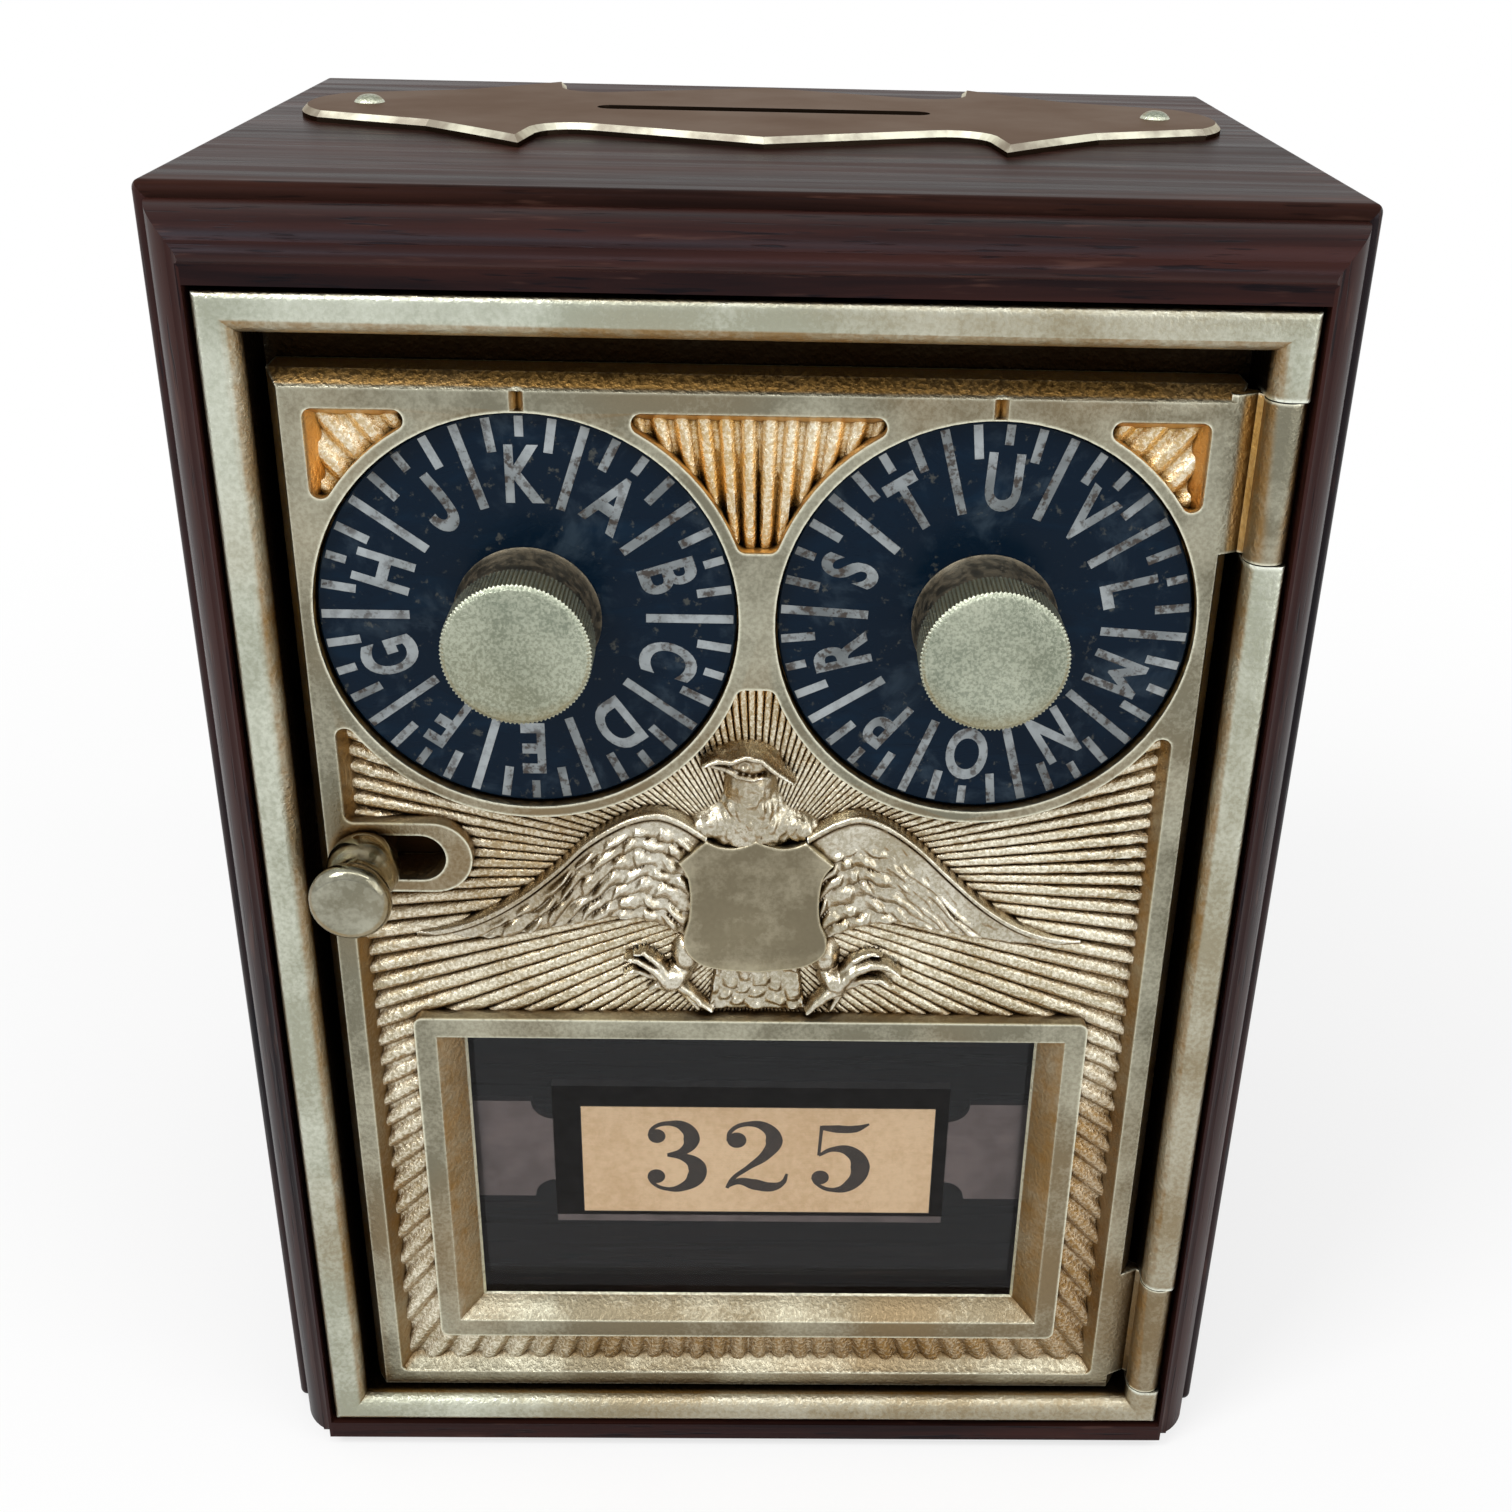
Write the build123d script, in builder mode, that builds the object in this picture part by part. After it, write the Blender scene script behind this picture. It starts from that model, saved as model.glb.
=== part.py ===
from build123d import *
from math import atan, degrees
import os

# Post office box door in a small wooden coin case. Millimetres, +Z up, the front faces -Y.
# The origin is the centre of the case's base. Depths along Y are written from the plane FACE,
# the front edges of the case's boards: a negative depth is towards the viewer.

# ---- driving dimensions -------------------------------------------------------------------
CASE_WIDTH = 100.3
CASE_HEIGHT = 131.5
CASE_DEPTH = 71.3          # boards only, behind FACE
MOULDING_RISE = 6.7        # the front moulding and the brass frame stand this far before FACE
BOARD = 7.5                # thickness of the top and the sides
BASE_BOARD = 5.4
BACK_PANEL = 5.0
BACK_REBATE = 5.0          # how far the back panel is let into the boards

FRAME_WIDTH = 88.9         # 3 1/2 in
FRAME_BOTTOM = 3.8
FRAME_TOP = 124.45
FRAME_GAP = 0.4            # dark line between the brass frame and the moulding
SLEEVE_DEPTH = 8.0

DOOR_HALF = 40.2
DOOR_BOTTOM = 6.8
DOOR_TOP = 117.5
RIM_DEPTH = -4.2           # polished front of the door's rim, rings and window border
EDGE_DEPTH = -2.5          # where the door's sloping edge meets its side
FIELD_DEPTH = -2.2         # sunk field that carries the rays
BACK_DEPTH = 0.8           # back of the door

DIAL_X = 19.8
DIAL_Z = 96.25
DIAL_R = 18.04
RING_R = 19.3

WINDOW_Z = 34.15
LATCH_Z = 72.5
LATCH_X = -35.45           # knob's place with the bolt thrown; it slides 4.8 towards +X

HINGE_X = 42.8
HINGE_DEPTH = -4.95
BARREL_R = 1.75
PIN_R = 0.9

# ---- derived planes -----------------------------------------------------------------------
FACE = (MOULDING_RISE - CASE_DEPTH) / 2
REAR = FACE + CASE_DEPTH
FRONT = FACE - MOULDING_RISE
HALF_W = CASE_WIDTH / 2
INNER_HALF = HALF_W - BOARD
INNER_TOP = CASE_HEIGHT - BOARD
FRAME_HALF = FRAME_WIDTH / 2
MIN, MAX = Align.MIN, Align.MAX
CENTRE = Align.CENTER


def depth(d):
    """Y of a depth measured from the boards' front edges."""
    return FACE + d


def front_plane(d):
    """Sketch plane at a depth: sketch x is X, sketch y is Z, extrude goes towards the viewer."""
    return Plane.XZ.offset(-depth(d))


def block(x, y, z, mode=Mode.ADD):
    """Box between pairs of limits."""
    middle = ((x[0] + x[1]) / 2, (y[0] + y[1]) / 2, (z[0] + z[1]) / 2)
    with Locations(middle):
        Box(x[1] - x[0], y[1] - y[0], z[1] - z[0], mode=mode)


def rod(x, z, radius, d0, d1, mode=Mode.ADD):
    """Cylinder along Y between two depths."""
    with Locations(Location((x, depth((d0 + d1) / 2), z), (90, 0, 0))):
        Cylinder(radius, d1 - d0, mode=mode)


def rectangle(x, z):
    """Sketch rectangle between pairs of limits."""
    with Locations(((x[0] + x[1]) / 2, (z[0] + z[1]) / 2)):
        Rectangle(x[1] - x[0], z[1] - z[0])


def save(part, name):
    part.label = name
    export_step(part, f"parts/{name}.step")


os.makedirs("parts", exist_ok=True)

# ---- fasteners ----------------------------------------------------------------------------
HEAD_SLOT = 0.6            # width and depth of a screwdriver slot
HEAD_LAND = 0.2            # straight edge of a countersunk head before its 90 degree cone


def countersunk_screw(head_r, shank_r, length):
    """Slotted countersunk screw along +Z with its head's face on the XY plane, facing -Z."""
    head_h = HEAD_LAND + head_r - shank_r
    with BuildPart() as screw:
        with BuildSketch(Plane.XZ):
            with BuildLine():
                Polyline(
                    (0, 0),
                    (head_r, 0),
                    (head_r, HEAD_LAND),
                    (shank_r, head_h),
                    (shank_r, length - 2 * shank_r),
                    (0, length),
                    close=True,
                )
            make_face()
        revolve(axis=Axis.Z)
        block((-head_r, head_r), (-HEAD_SLOT / 2, HEAD_SLOT / 2), (0, HEAD_SLOT), mode=Mode.SUBTRACT)
    return screw.part


def countersunk_hole(head_r, shank_r, length):
    """Hole for a countersunk screw, at the current location, cut against its z direction."""
    CounterSinkHole(
        shank_r + 0.05, head_r + HEAD_LAND + 0.05, depth=length, counter_sink_angle=90
    )


def cheese_screw(head_r, head_h, shank_r, length):
    """Slotted cheese-head screw along +Z, the head's seat on the XY plane."""
    with BuildPart() as screw:
        Cylinder(head_r, head_h, align=(CENTRE, CENTRE, MAX))
        fillet(screw.edges().group_by(Axis.Z)[0], head_h / 4)
        Cylinder(shank_r, length, align=(CENTRE, CENTRE, MIN))
        slot_z = (-head_h, -head_h + HEAD_SLOT)
        block((-head_r, head_r), (-HEAD_SLOT / 2, HEAD_SLOT / 2), slot_z, mode=Mode.SUBTRACT)
    return screw.part


def placed_group(shape, planes, name):
    """Copies of one fastener, each set on its own plane, written as one node."""
    with BuildPart() as group:
        for plane in planes:
            add(plane * shape)
    save(group.part, name)


# ---- wooden case --------------------------------------------------------------------------
CASE_EDGE_R = 1.1          # softened edges round the front and the back
CASE_CORNER_R = 0.7
SLOT_DEPTH = 42.5          # the coin slot's centre, behind FACE
COIN_SLOT = (33.4, 3.0)
PLATE_PIN_X = 39.4
PLATE_PIN_R = 0.7
PLATE_PIN_LENGTH = 6.4     # below the board's surface
BACK_SCREW_X = 45.2
PANEL_EDGE = 0.5
BACK_SCREW_Z = (22.0, 109.0)
BACK_SCREW = (2.0, 1.1, 14.0)
FRAME_SCREW_Z = (34.0, 96.0)
FRAME_SCREW_DEPTH = 5.2
FRAME_SCREW = (2.2, 1.1, 6.4)
FRAME_PILOT = 5.5
BACK_PILOT = 16.0
BOLT_Z = (68.2, 76.8)
BOLT_DEPTH = (1.0, 3.4)
STRIKE_CLEAR = 0.4         # round the bolt in its strike and mortise
MORTISE_X = -44.6

with BuildPart() as envelope:
    block((-HALF_W, HALF_W), (FACE, REAR), (0, CASE_HEIGHT))
    fillet(envelope.edges().filter_by(Axis.Y), CASE_CORNER_R)
    fillet(envelope.faces().sort_by(Axis.Y)[0].edges(), CASE_EDGE_R)
    fillet(envelope.faces().sort_by(Axis.Y)[-1].edges(), CASE_CORNER_R)

REBATE_HALF = INNER_HALF + BACK_REBATE
REBATE_TOP = INNER_TOP + BACK_REBATE
REBATE_BOTTOM = BASE_BOARD - BACK_REBATE + 1.0
STRIKE_Z = (BOLT_Z[0] - STRIKE_CLEAR, BOLT_Z[1] + STRIKE_CLEAR)
STRIKE_Y = (depth(BOLT_DEPTH[0] - STRIKE_CLEAR / 2), depth(BOLT_DEPTH[1] + STRIKE_CLEAR / 2))
BACK_SEAT = REAR - BACK_PANEL


def cut_back_rebate():
    """Recess round the back opening that the back panel sits in."""
    block(
        (-REBATE_HALF, REBATE_HALF),
        (BACK_SEAT, REAR),
        (REBATE_BOTTOM, REBATE_TOP),
        mode=Mode.SUBTRACT,
    )


def side_board(side):
    """Side of the case; side is -1 for the left and 1 for the right."""
    with BuildPart() as board:
        with BuildSketch(front_plane(0)):
            with BuildLine():
                Polyline(
                    (side * HALF_W, 0),
                    (side * INNER_HALF, 0),
                    (side * INNER_HALF, INNER_TOP),
                    (side * HALF_W, CASE_HEIGHT),
                    close=True,
                )
            make_face()
        extrude(amount=-CASE_DEPTH)
        add(envelope.part, mode=Mode.INTERSECT)
        cut_back_rebate()
        for z in BACK_SCREW_Z:
            pilot = (CASE_DEPTH - BACK_PILOT, CASE_DEPTH)
            rod(side * BACK_SCREW_X, z, BACK_SCREW[1], *pilot, mode=Mode.SUBTRACT)
        for z in FRAME_SCREW_Z:
            with BuildSketch(Plane.YZ.offset(side * INNER_HALF)):
                with Locations((depth(FRAME_SCREW_DEPTH), z)):
                    Circle(FRAME_SCREW[1])
            extrude(amount=side * FRAME_PILOT, mode=Mode.SUBTRACT)
        if side < 0:
            block((MORTISE_X, -INNER_HALF), STRIKE_Y, STRIKE_Z, mode=Mode.SUBTRACT)
    return board.part


save(side_board(-1), "case_left_side")
save(side_board(1), "case_right_side")

with BuildPart() as case_top:
    with BuildSketch(front_plane(0)):
        with BuildLine():
            Polyline(
                (-HALF_W, CASE_HEIGHT),
                (-INNER_HALF, INNER_TOP),
                (INNER_HALF, INNER_TOP),
                (HALF_W, CASE_HEIGHT),
                close=True,
            )
        make_face()
    extrude(amount=-CASE_DEPTH)
    add(envelope.part, mode=Mode.INTERSECT)
    cut_back_rebate()
    with BuildSketch(Plane.XY.offset(CASE_HEIGHT)):
        with Locations((0, depth(SLOT_DEPTH))):
            SlotOverall(*COIN_SLOT)
    extrude(amount=-BOARD, mode=Mode.SUBTRACT)
    for x in (-PLATE_PIN_X, PLATE_PIN_X):
        with Locations((x, depth(SLOT_DEPTH), CASE_HEIGHT)):
            Cylinder(PLATE_PIN_R, 2 * PLATE_PIN_LENGTH, mode=Mode.SUBTRACT)
save(case_top.part, "case_top")

with BuildPart() as case_bottom:
    block((-INNER_HALF, INNER_HALF), (FACE, REAR), (0, BASE_BOARD))
    add(envelope.part, mode=Mode.INTERSECT)
    cut_back_rebate()
save(case_bottom.part, "case_bottom")

PANEL_CLEAR = 0.1
with BuildPart() as back_panel:
    block(
        (-REBATE_HALF + PANEL_CLEAR, REBATE_HALF - PANEL_CLEAR),
        (BACK_SEAT, REAR),
        (REBATE_BOTTOM + PANEL_CLEAR, REBATE_TOP - PANEL_CLEAR),
    )
    chamfer(back_panel.faces().sort_by(Axis.Y)[-1].edges(), PANEL_EDGE)
    for x in (-BACK_SCREW_X, BACK_SCREW_X):
        for z in BACK_SCREW_Z:
            with Locations(Plane(origin=(x, REAR, z), x_dir=(1, 0, 0), z_dir=(0, 1, 0))):
                countersunk_hole(*BACK_SCREW)
save(back_panel.part, "case_back_panel")

placed_group(
    countersunk_screw(*BACK_SCREW),
    [
        Plane(origin=(x, REAR, z), x_dir=(1, 0, 0), z_dir=(0, -1, 0))
        for x in (-BACK_SCREW_X, BACK_SCREW_X)
        for z in BACK_SCREW_Z
    ],
    "back_panel_screws",
)

# ---- front moulding -----------------------------------------------------------------------
# The section is written as inset from the case's outside and rise before FACE: a small step,
# a convex ovolo, a hollow cove and a flat fillet beside the brass frame.
STEP_INSET = 1.3
STEP_RISE = 0.6
OVOLO_END = (3.7, 4.3)
COVE_START = (3.7, 4.5)
COVE_END_INSET = 5.0
SIDE_INSET = HALF_W - FRAME_HALF - FRAME_GAP
TOP_INSET = CASE_HEIGHT - FRAME_TOP - FRAME_GAP
BASE_DROP = 3.66           # the bottom strip is trimmed flush with the case's base by this much


def moulding_section(plane, place, inner_inset):
    """Closed section; place(inset, rise) gives its point in the sketch plane."""
    with BuildSketch(plane) as section:
        with BuildLine():
            Line(place(inner_inset, 0), place(STEP_INSET, 0))
            Line(place(STEP_INSET, 0), place(STEP_INSET, STEP_RISE))
            ThreePointArc(place(STEP_INSET, STEP_RISE), place(2.15, 2.85), place(*OVOLO_END))
            Line(place(*OVOLO_END), place(*COVE_START))
            ThreePointArc(
                place(*COVE_START), place(4.72, 5.27), place(COVE_END_INSET, MOULDING_RISE)
            )
            Line(place(COVE_END_INSET, MOULDING_RISE), place(inner_inset, MOULDING_RISE))
            Line(place(inner_inset, MOULDING_RISE), place(inner_inset, 0))
        make_face()
    return section.sketch


def keep_region(points):
    """Trim a strip to its mitred outline, seen from the front."""
    with BuildSketch(front_plane(0)) as region:
        with BuildLine():
            Polyline(*points, close=True)
        make_face()
    extrude(region.sketch, amount=MOULDING_RISE, mode=Mode.INTERSECT)


END_PLANE = Plane.YZ.offset(-HALF_W)
MITRE_TOP_OUT = (HALF_W - STEP_INSET, CASE_HEIGHT - STEP_INSET)
MITRE_TOP_IN = (HALF_W - SIDE_INSET, CASE_HEIGHT - SIDE_INSET)
MITRE_BASE_OUT = (HALF_W - BASE_DROP, 0)
MITRE_BASE_IN = (HALF_W - SIDE_INSET, SIDE_INSET - BASE_DROP)


def side_moulding(side):
    with BuildPart() as strip:
        extrude(
            moulding_section(Plane.XY, lambda s, t: (side * (HALF_W - s), FACE - t), SIDE_INSET),
            amount=CASE_HEIGHT,
        )
        keep_region([
            (side * (HALF_W - STEP_INSET), 0),
            (side * MITRE_TOP_OUT[0], MITRE_TOP_OUT[1]),
            (side * MITRE_TOP_IN[0], MITRE_TOP_IN[1]),
            (side * MITRE_BASE_IN[0], MITRE_BASE_IN[1]),
            (side * MITRE_BASE_OUT[0], MITRE_BASE_OUT[1]),
        ])
    return strip.part


save(side_moulding(-1), "front_moulding_left")
save(side_moulding(1), "front_moulding_right")

with BuildPart() as top_strip:
    extrude(
        moulding_section(END_PLANE, lambda s, t: (FACE - t, CASE_HEIGHT - s), TOP_INSET),
        amount=CASE_WIDTH,
    )
    keep_region([
        (-MITRE_TOP_OUT[0], MITRE_TOP_OUT[1]),
        (-MITRE_TOP_IN[0], MITRE_TOP_IN[1]),
        (-MITRE_TOP_IN[0], CASE_HEIGHT - TOP_INSET),
        (MITRE_TOP_IN[0], CASE_HEIGHT - TOP_INSET),
        (MITRE_TOP_IN[0], MITRE_TOP_IN[1]),
        (MITRE_TOP_OUT[0], MITRE_TOP_OUT[1]),
    ])
save(top_strip.part, "front_moulding_top")

BASE_STRIP_TOP = FRAME_BOTTOM - FRAME_GAP
with BuildPart() as base_strip:
    extrude(
        moulding_section(
            END_PLANE, lambda s, t: (FACE - t, s - BASE_DROP), BASE_STRIP_TOP + BASE_DROP
        ),
        amount=CASE_WIDTH,
    )
    keep_region([
        (-MITRE_BASE_OUT[0], 0),
        (-MITRE_BASE_IN[0], MITRE_BASE_IN[1]),
        (-MITRE_BASE_IN[0], BASE_STRIP_TOP),
        (MITRE_BASE_IN[0], BASE_STRIP_TOP),
        (MITRE_BASE_IN[0], MITRE_BASE_IN[1]),
        (MITRE_BASE_OUT[0], 0),
    ])
save(base_strip.part, "front_moulding_bottom")

# ---- coin slot plate on the top -----------------------------------------------------------
PLATE_THICK = 1.0
PLATE_BEVEL = 0.55
PLATE_ARC_STEPS = 6
# A quarter of the outline as arcs, in x and distance from the plate's centreline: the round
# end, the shoulder, the sweep out to the cusp, the notch behind it and the middle lobe. The
# cusp's inner side is the straight line from one arc's end to the next one's start.
PLATE_CUSP = (22.0, 21.5)
PLATE_ARCS = (
    ((45.8, 0), (45.3, 3.6), (43.0, 7.6)),
    ((43.0, 7.6), (38.2, 9.6), (31.8, 12.2)),
    ((31.8, 12.2), (27.0, 16.6), PLATE_CUSP),
    ((21.2, 15.2), (19.6, 12.9), (16.4, 12.6)),
    ((16.4, 12.6), (9.5, 15.4), (0, 19.4)),
)


def plate_quarter():
    """Points of a quarter of the outline, from the end's middle up to the long side's middle."""
    points = []
    for start, middle, end in PLATE_ARCS:
        arc = ThreePointArc(start, middle, end)
        steps = [i / PLATE_ARC_STEPS for i in range(PLATE_ARC_STEPS)]
        points += [(place.X, place.Y) for place in arc.positions(steps)]
        if end == PLATE_CUSP:
            points.append(end)
    return points


def plate_outline():
    """The whole outline, mirrored from its quarter."""
    quarter = plate_quarter()
    upper = quarter + [PLATE_ARCS[-1][2]] + [(-x, d) for x, d in reversed(quarter)]
    lower = [(x, -d) for x, d in reversed(upper[1:-1])]
    return [(x, depth(SLOT_DEPTH) + d) for x, d in upper + lower]


outline = plate_outline()
with BuildPart() as slot_plate:
    with BuildSketch(Plane.XY.offset(CASE_HEIGHT)):
        with BuildLine():
            Polyline(*outline, close=True)
        make_face()
    extrude(amount=PLATE_THICK)
    chamfer(slot_plate.faces().sort_by(Axis.Z)[-1].edges(), PLATE_BEVEL)
    with BuildSketch(Plane.XY.offset(CASE_HEIGHT)):
        with Locations((0, depth(SLOT_DEPTH))):
            SlotOverall(*COIN_SLOT)
        with Locations((-PLATE_PIN_X, depth(SLOT_DEPTH)), (PLATE_PIN_X, depth(SLOT_DEPTH))):
            Circle(PLATE_PIN_R)
    extrude(amount=PLATE_THICK, mode=Mode.SUBTRACT)
save(slot_plate.part, "coin_slot_plate")

PIN_HEAD = (1.5, 0.7)
with BuildPart() as plate_pins:
    for x in (-PLATE_PIN_X, PLATE_PIN_X):
        with BuildSketch(Plane(origin=(x, depth(SLOT_DEPTH), 0), x_dir=(1, 0, 0), z_dir=(0, -1, 0))):
            with BuildLine():
                top = CASE_HEIGHT + PLATE_THICK
                tip = CASE_HEIGHT - PLATE_PIN_LENGTH
                ThreePointArc((0, top + PIN_HEAD[1]), (1.1, top + 0.45), (PIN_HEAD[0], top))
                Polyline((PIN_HEAD[0], top), (PLATE_PIN_R, top), (PLATE_PIN_R, tip + 1.4), (0, tip))
                Line((0, tip), (0, top + PIN_HEAD[1]))
            make_face()
        revolve(axis=Axis((x, depth(SLOT_DEPTH), 0), (0, 0, 1)))
save(plate_pins.part, "slot_plate_pins")


def turned(x, z, points, mode=Mode.ADD):
    """Solid of revolution about a line along Y through (x, z); points are (radius, depth)."""
    with BuildSketch(Plane(origin=(x, FACE, z), x_dir=(1, 0, 0), z_dir=(0, 0, 1))) as section:
        with BuildLine():
            Polyline(*points, close=True)
        make_face()
    revolve(section.sketch, axis=Axis((x, FACE, z), (0, 1, 0)), mode=mode)


# ---- hinge --------------------------------------------------------------------------------
KNUCKLES = ((8.5, 22.8), (103.2, 117.0))
PIN_SPANS = ((4.0, 27.0), (99.0, 124.2))
KNUCKLE_GAP = 0.12
RUNNING_GAP = 0.06
PIN_EDGE = 0.25


def hinge_rod(radius, z, mode=Mode.ADD):
    """Cylinder on the hinge's axis between two heights."""
    with Locations((HINGE_X, depth(HINGE_DEPTH), (z[0] + z[1]) / 2)):
        Cylinder(radius, z[1] - z[0], mode=mode)


def hinge_pin(span):
    with BuildPart() as pin:
        hinge_rod(PIN_R, span)
        chamfer(pin.edges().filter_by(GeomType.CIRCLE), PIN_EDGE)
    return pin.part


save(hinge_pin(PIN_SPANS[0]), "hinge_pin_lower")
save(hinge_pin(PIN_SPANS[1]), "hinge_pin_upper")

# ---- brass door frame ---------------------------------------------------------------------
FRAME_IN_X = 41.1
FRAME_IN_Z = (6.4, 121.0)
SLEEVE_X = 42.4
SLEEVE_Z = (5.5, 123.75)
BEAD_OUTER_R = 0.8
BEAD_INNER_R = 1.6
STOP = (1.0, 2.4)          # depths of the flange the door closes against
STOP_IN_X = 38.6
STOP_IN_Z = (9.2, 115.6)
STOP_NOTCH_Z = (67.0, 78.0)
KNUCKLE_CLEAR = 0.25
LIP_BEHIND = -2.2          # the frame's lip behind each knuckle starts at this depth

with BuildPart() as door_frame:
    block((-FRAME_HALF, FRAME_HALF), (FRONT, FACE), (FRAME_BOTTOM, FRAME_TOP))
    block((-SLEEVE_X, SLEEVE_X), (FACE, depth(SLEEVE_DEPTH)), SLEEVE_Z)
    block((-FRAME_IN_X, FRAME_IN_X), (FRONT, depth(STOP[0])), FRAME_IN_Z, mode=Mode.SUBTRACT)
    block((-STOP_IN_X, STOP_IN_X), (depth(STOP[0]), depth(STOP[1])), STOP_IN_Z, mode=Mode.SUBTRACT)
    block((-FRAME_IN_X, FRAME_IN_X), (depth(STOP[1]), depth(SLEEVE_DEPTH)), FRAME_IN_Z, mode=Mode.SUBTRACT)
    front_face = door_frame.faces().sort_by(Axis.Y)[0]
    outer_edges = front_face.outer_wire().edges()
    inner_edges = front_face.inner_wires()[0].edges()
    fillet(outer_edges, BEAD_OUTER_R)
    fillet(inner_edges, BEAD_INNER_R)
    block(
        (-FRAME_IN_X, -STOP_IN_X),
        (depth(STOP[0]), depth(STOP[1])),
        STOP_NOTCH_Z,
        mode=Mode.SUBTRACT,
    )
    block((-SLEEVE_X, -FRAME_IN_X), STRIKE_Y, STRIKE_Z, mode=Mode.SUBTRACT)
    for z0, z1 in KNUCKLES:
        cut_z = (z0 - KNUCKLE_GAP, z1 + KNUCKLE_GAP)
        hinge_rod(BARREL_R + KNUCKLE_CLEAR, cut_z, mode=Mode.SUBTRACT)
        block((FRAME_IN_X, FRAME_HALF), (FRONT, depth(HINGE_DEPTH)), cut_z, mode=Mode.SUBTRACT)
        block((FRAME_IN_X, HINGE_X), (FRONT, depth(LIP_BEHIND)), cut_z, mode=Mode.SUBTRACT)
    hinge_rod(PIN_R, (FRAME_BOTTOM, PIN_SPANS[0][1]), mode=Mode.SUBTRACT)
    hinge_rod(PIN_R, (PIN_SPANS[1][0], FRAME_TOP), mode=Mode.SUBTRACT)
    for side in (-1, 1):
        for z in FRAME_SCREW_Z:
            seat = Plane(
                origin=(side * FRAME_IN_X, depth(FRAME_SCREW_DEPTH), z),
                x_dir=(0, 0, 1),
                z_dir=(-side, 0, 0),
            )
            with Locations(seat):
                countersunk_hole(*FRAME_SCREW)
save(door_frame.part, "door_frame")

placed_group(
    countersunk_screw(*FRAME_SCREW),
    [
        Plane(
            origin=(side * FRAME_IN_X, depth(FRAME_SCREW_DEPTH), z),
            x_dir=(0, 0, 1),
            z_dir=(side, 0, 0),
        )
        for side in (-1, 1)
        for z in FRAME_SCREW_Z
    ],
    "frame_screws",
)

# ---- door ---------------------------------------------------------------------------------
RIM_OUT_X = 39.1
RIM_OUT_TOP = 116.3
RIM_IN_X = 37.3
RIM_IN_Z = (8.5, 114.6)
RIM_SLOPE = 1.1            # width of the slope from the rim down to the field
WELL_R = 18.25
WELL_DEPTH = -2.0
WEB_HALF = 1.6             # bridge between the two rings
WEB_Z = (89.9, 102.6)
FIELD_CORNER_R = 0.9
BOSS_HALF_Z = 3.6          # latch boss, running out into the left rim
BOSS_END_X = -29.5
LATCH_SLOT = (9.5, 4.7)
LATCH_SLOT_X = -33.05
WINDOW_OUT = (32.7, 20.45)     # half width and half height of the window border
WINDOW_IN = (30.6, 18.3)
WINDOW_HOLE = (28.1, 16.75)
GLASS_HALF = (30.0, 19.0)
GLASS_DEPTH = (-1.5, 0.5)
GLASS_CLEAR = 0.08
NOTCH_HALF = 0.6           # index notch over each dial
NOTCH_DEPTH = 0.7
BEARING_R = 4.6
BEARING_DEPTH = 2.3
SPINDLE_R = 2.5
COVER_POSTS = ((-32.5, 64.5), (32.5, 64.5), (-32.5, 109.5), (32.5, 109.5))
COVER_PILOT_R = 0.9
HOLDER_SCREW_X = 32.2
HOLDER_SCREW_Z = (32.3, 38.2)
HOLDER_PILOT_R = 0.6
GUIDE_X = -22.0
GUIDE_SCREW_Z = (LATCH_Z - 7.2, LATCH_Z + 7.2)
GUIDE_PILOT_R = 0.7
PILOT_DEPTH = -1.2
PILOT_END = 0.2            # the holes go this much deeper than their screws
SMALL_HEAD = (1.3, 0.8)    # radius and height of the small screws' heads


def window_rect(half):
    """Limits of a rectangle centred on the window, from its half width and half height."""
    return (-half[0], half[0]), (WINDOW_Z - half[1], WINDOW_Z + half[1])


def field_outline():
    """Front outline of the sunk field's regions, with their corners rounded."""
    with BuildSketch(front_plane(RIM_DEPTH)) as outline:
        rectangle((-RIM_IN_X, RIM_IN_X), RIM_IN_Z)
        with Locations((-DIAL_X, DIAL_Z), (DIAL_X, DIAL_Z)):
            Circle(RING_R, mode=Mode.SUBTRACT)
        with Locations((0, (WEB_Z[0] + WEB_Z[1]) / 2)):
            Rectangle(2 * WEB_HALF, WEB_Z[1] - WEB_Z[0], mode=Mode.SUBTRACT)
        with Locations((BOSS_END_X, LATCH_Z)):
            Circle(BOSS_HALF_Z, mode=Mode.SUBTRACT)
        with Locations(((BOSS_END_X - RIM_IN_X) / 2, LATCH_Z)):
            Rectangle(RIM_IN_X + BOSS_END_X, 2 * BOSS_HALF_Z, mode=Mode.SUBTRACT)
        with Locations((0, WINDOW_Z)):
            Rectangle(2 * WINDOW_OUT[0], 2 * WINDOW_OUT[1], mode=Mode.SUBTRACT)
        fillet(outline.vertices(), FIELD_CORNER_R)
    return outline.sketch


def sunk_field():
    """Volume cut from the door's front between the rim, the rings, the boss and the window."""
    with BuildPart() as field:
        with BuildSketch(front_plane(RIM_DEPTH)):
            rectangle((-RIM_IN_X, RIM_IN_X), RIM_IN_Z)
        slope = degrees(atan(RIM_SLOPE / (FIELD_DEPTH - RIM_DEPTH)))
        extrude(amount=RIM_DEPTH - FIELD_DEPTH, taper=slope)
        extrude(field_outline(), amount=RIM_DEPTH - FIELD_DEPTH, mode=Mode.INTERSECT)
    return field.part


def window_bevel():
    """Sloping walls from the window border down to the glass."""
    with BuildPart() as bevel:
        with BuildSketch(front_plane(RIM_DEPTH)):
            rectangle(*window_rect(WINDOW_IN))
        with BuildSketch(front_plane(GLASS_DEPTH[0])):
            rectangle(*window_rect(WINDOW_HOLE))
        loft()
    return bevel.part


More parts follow.
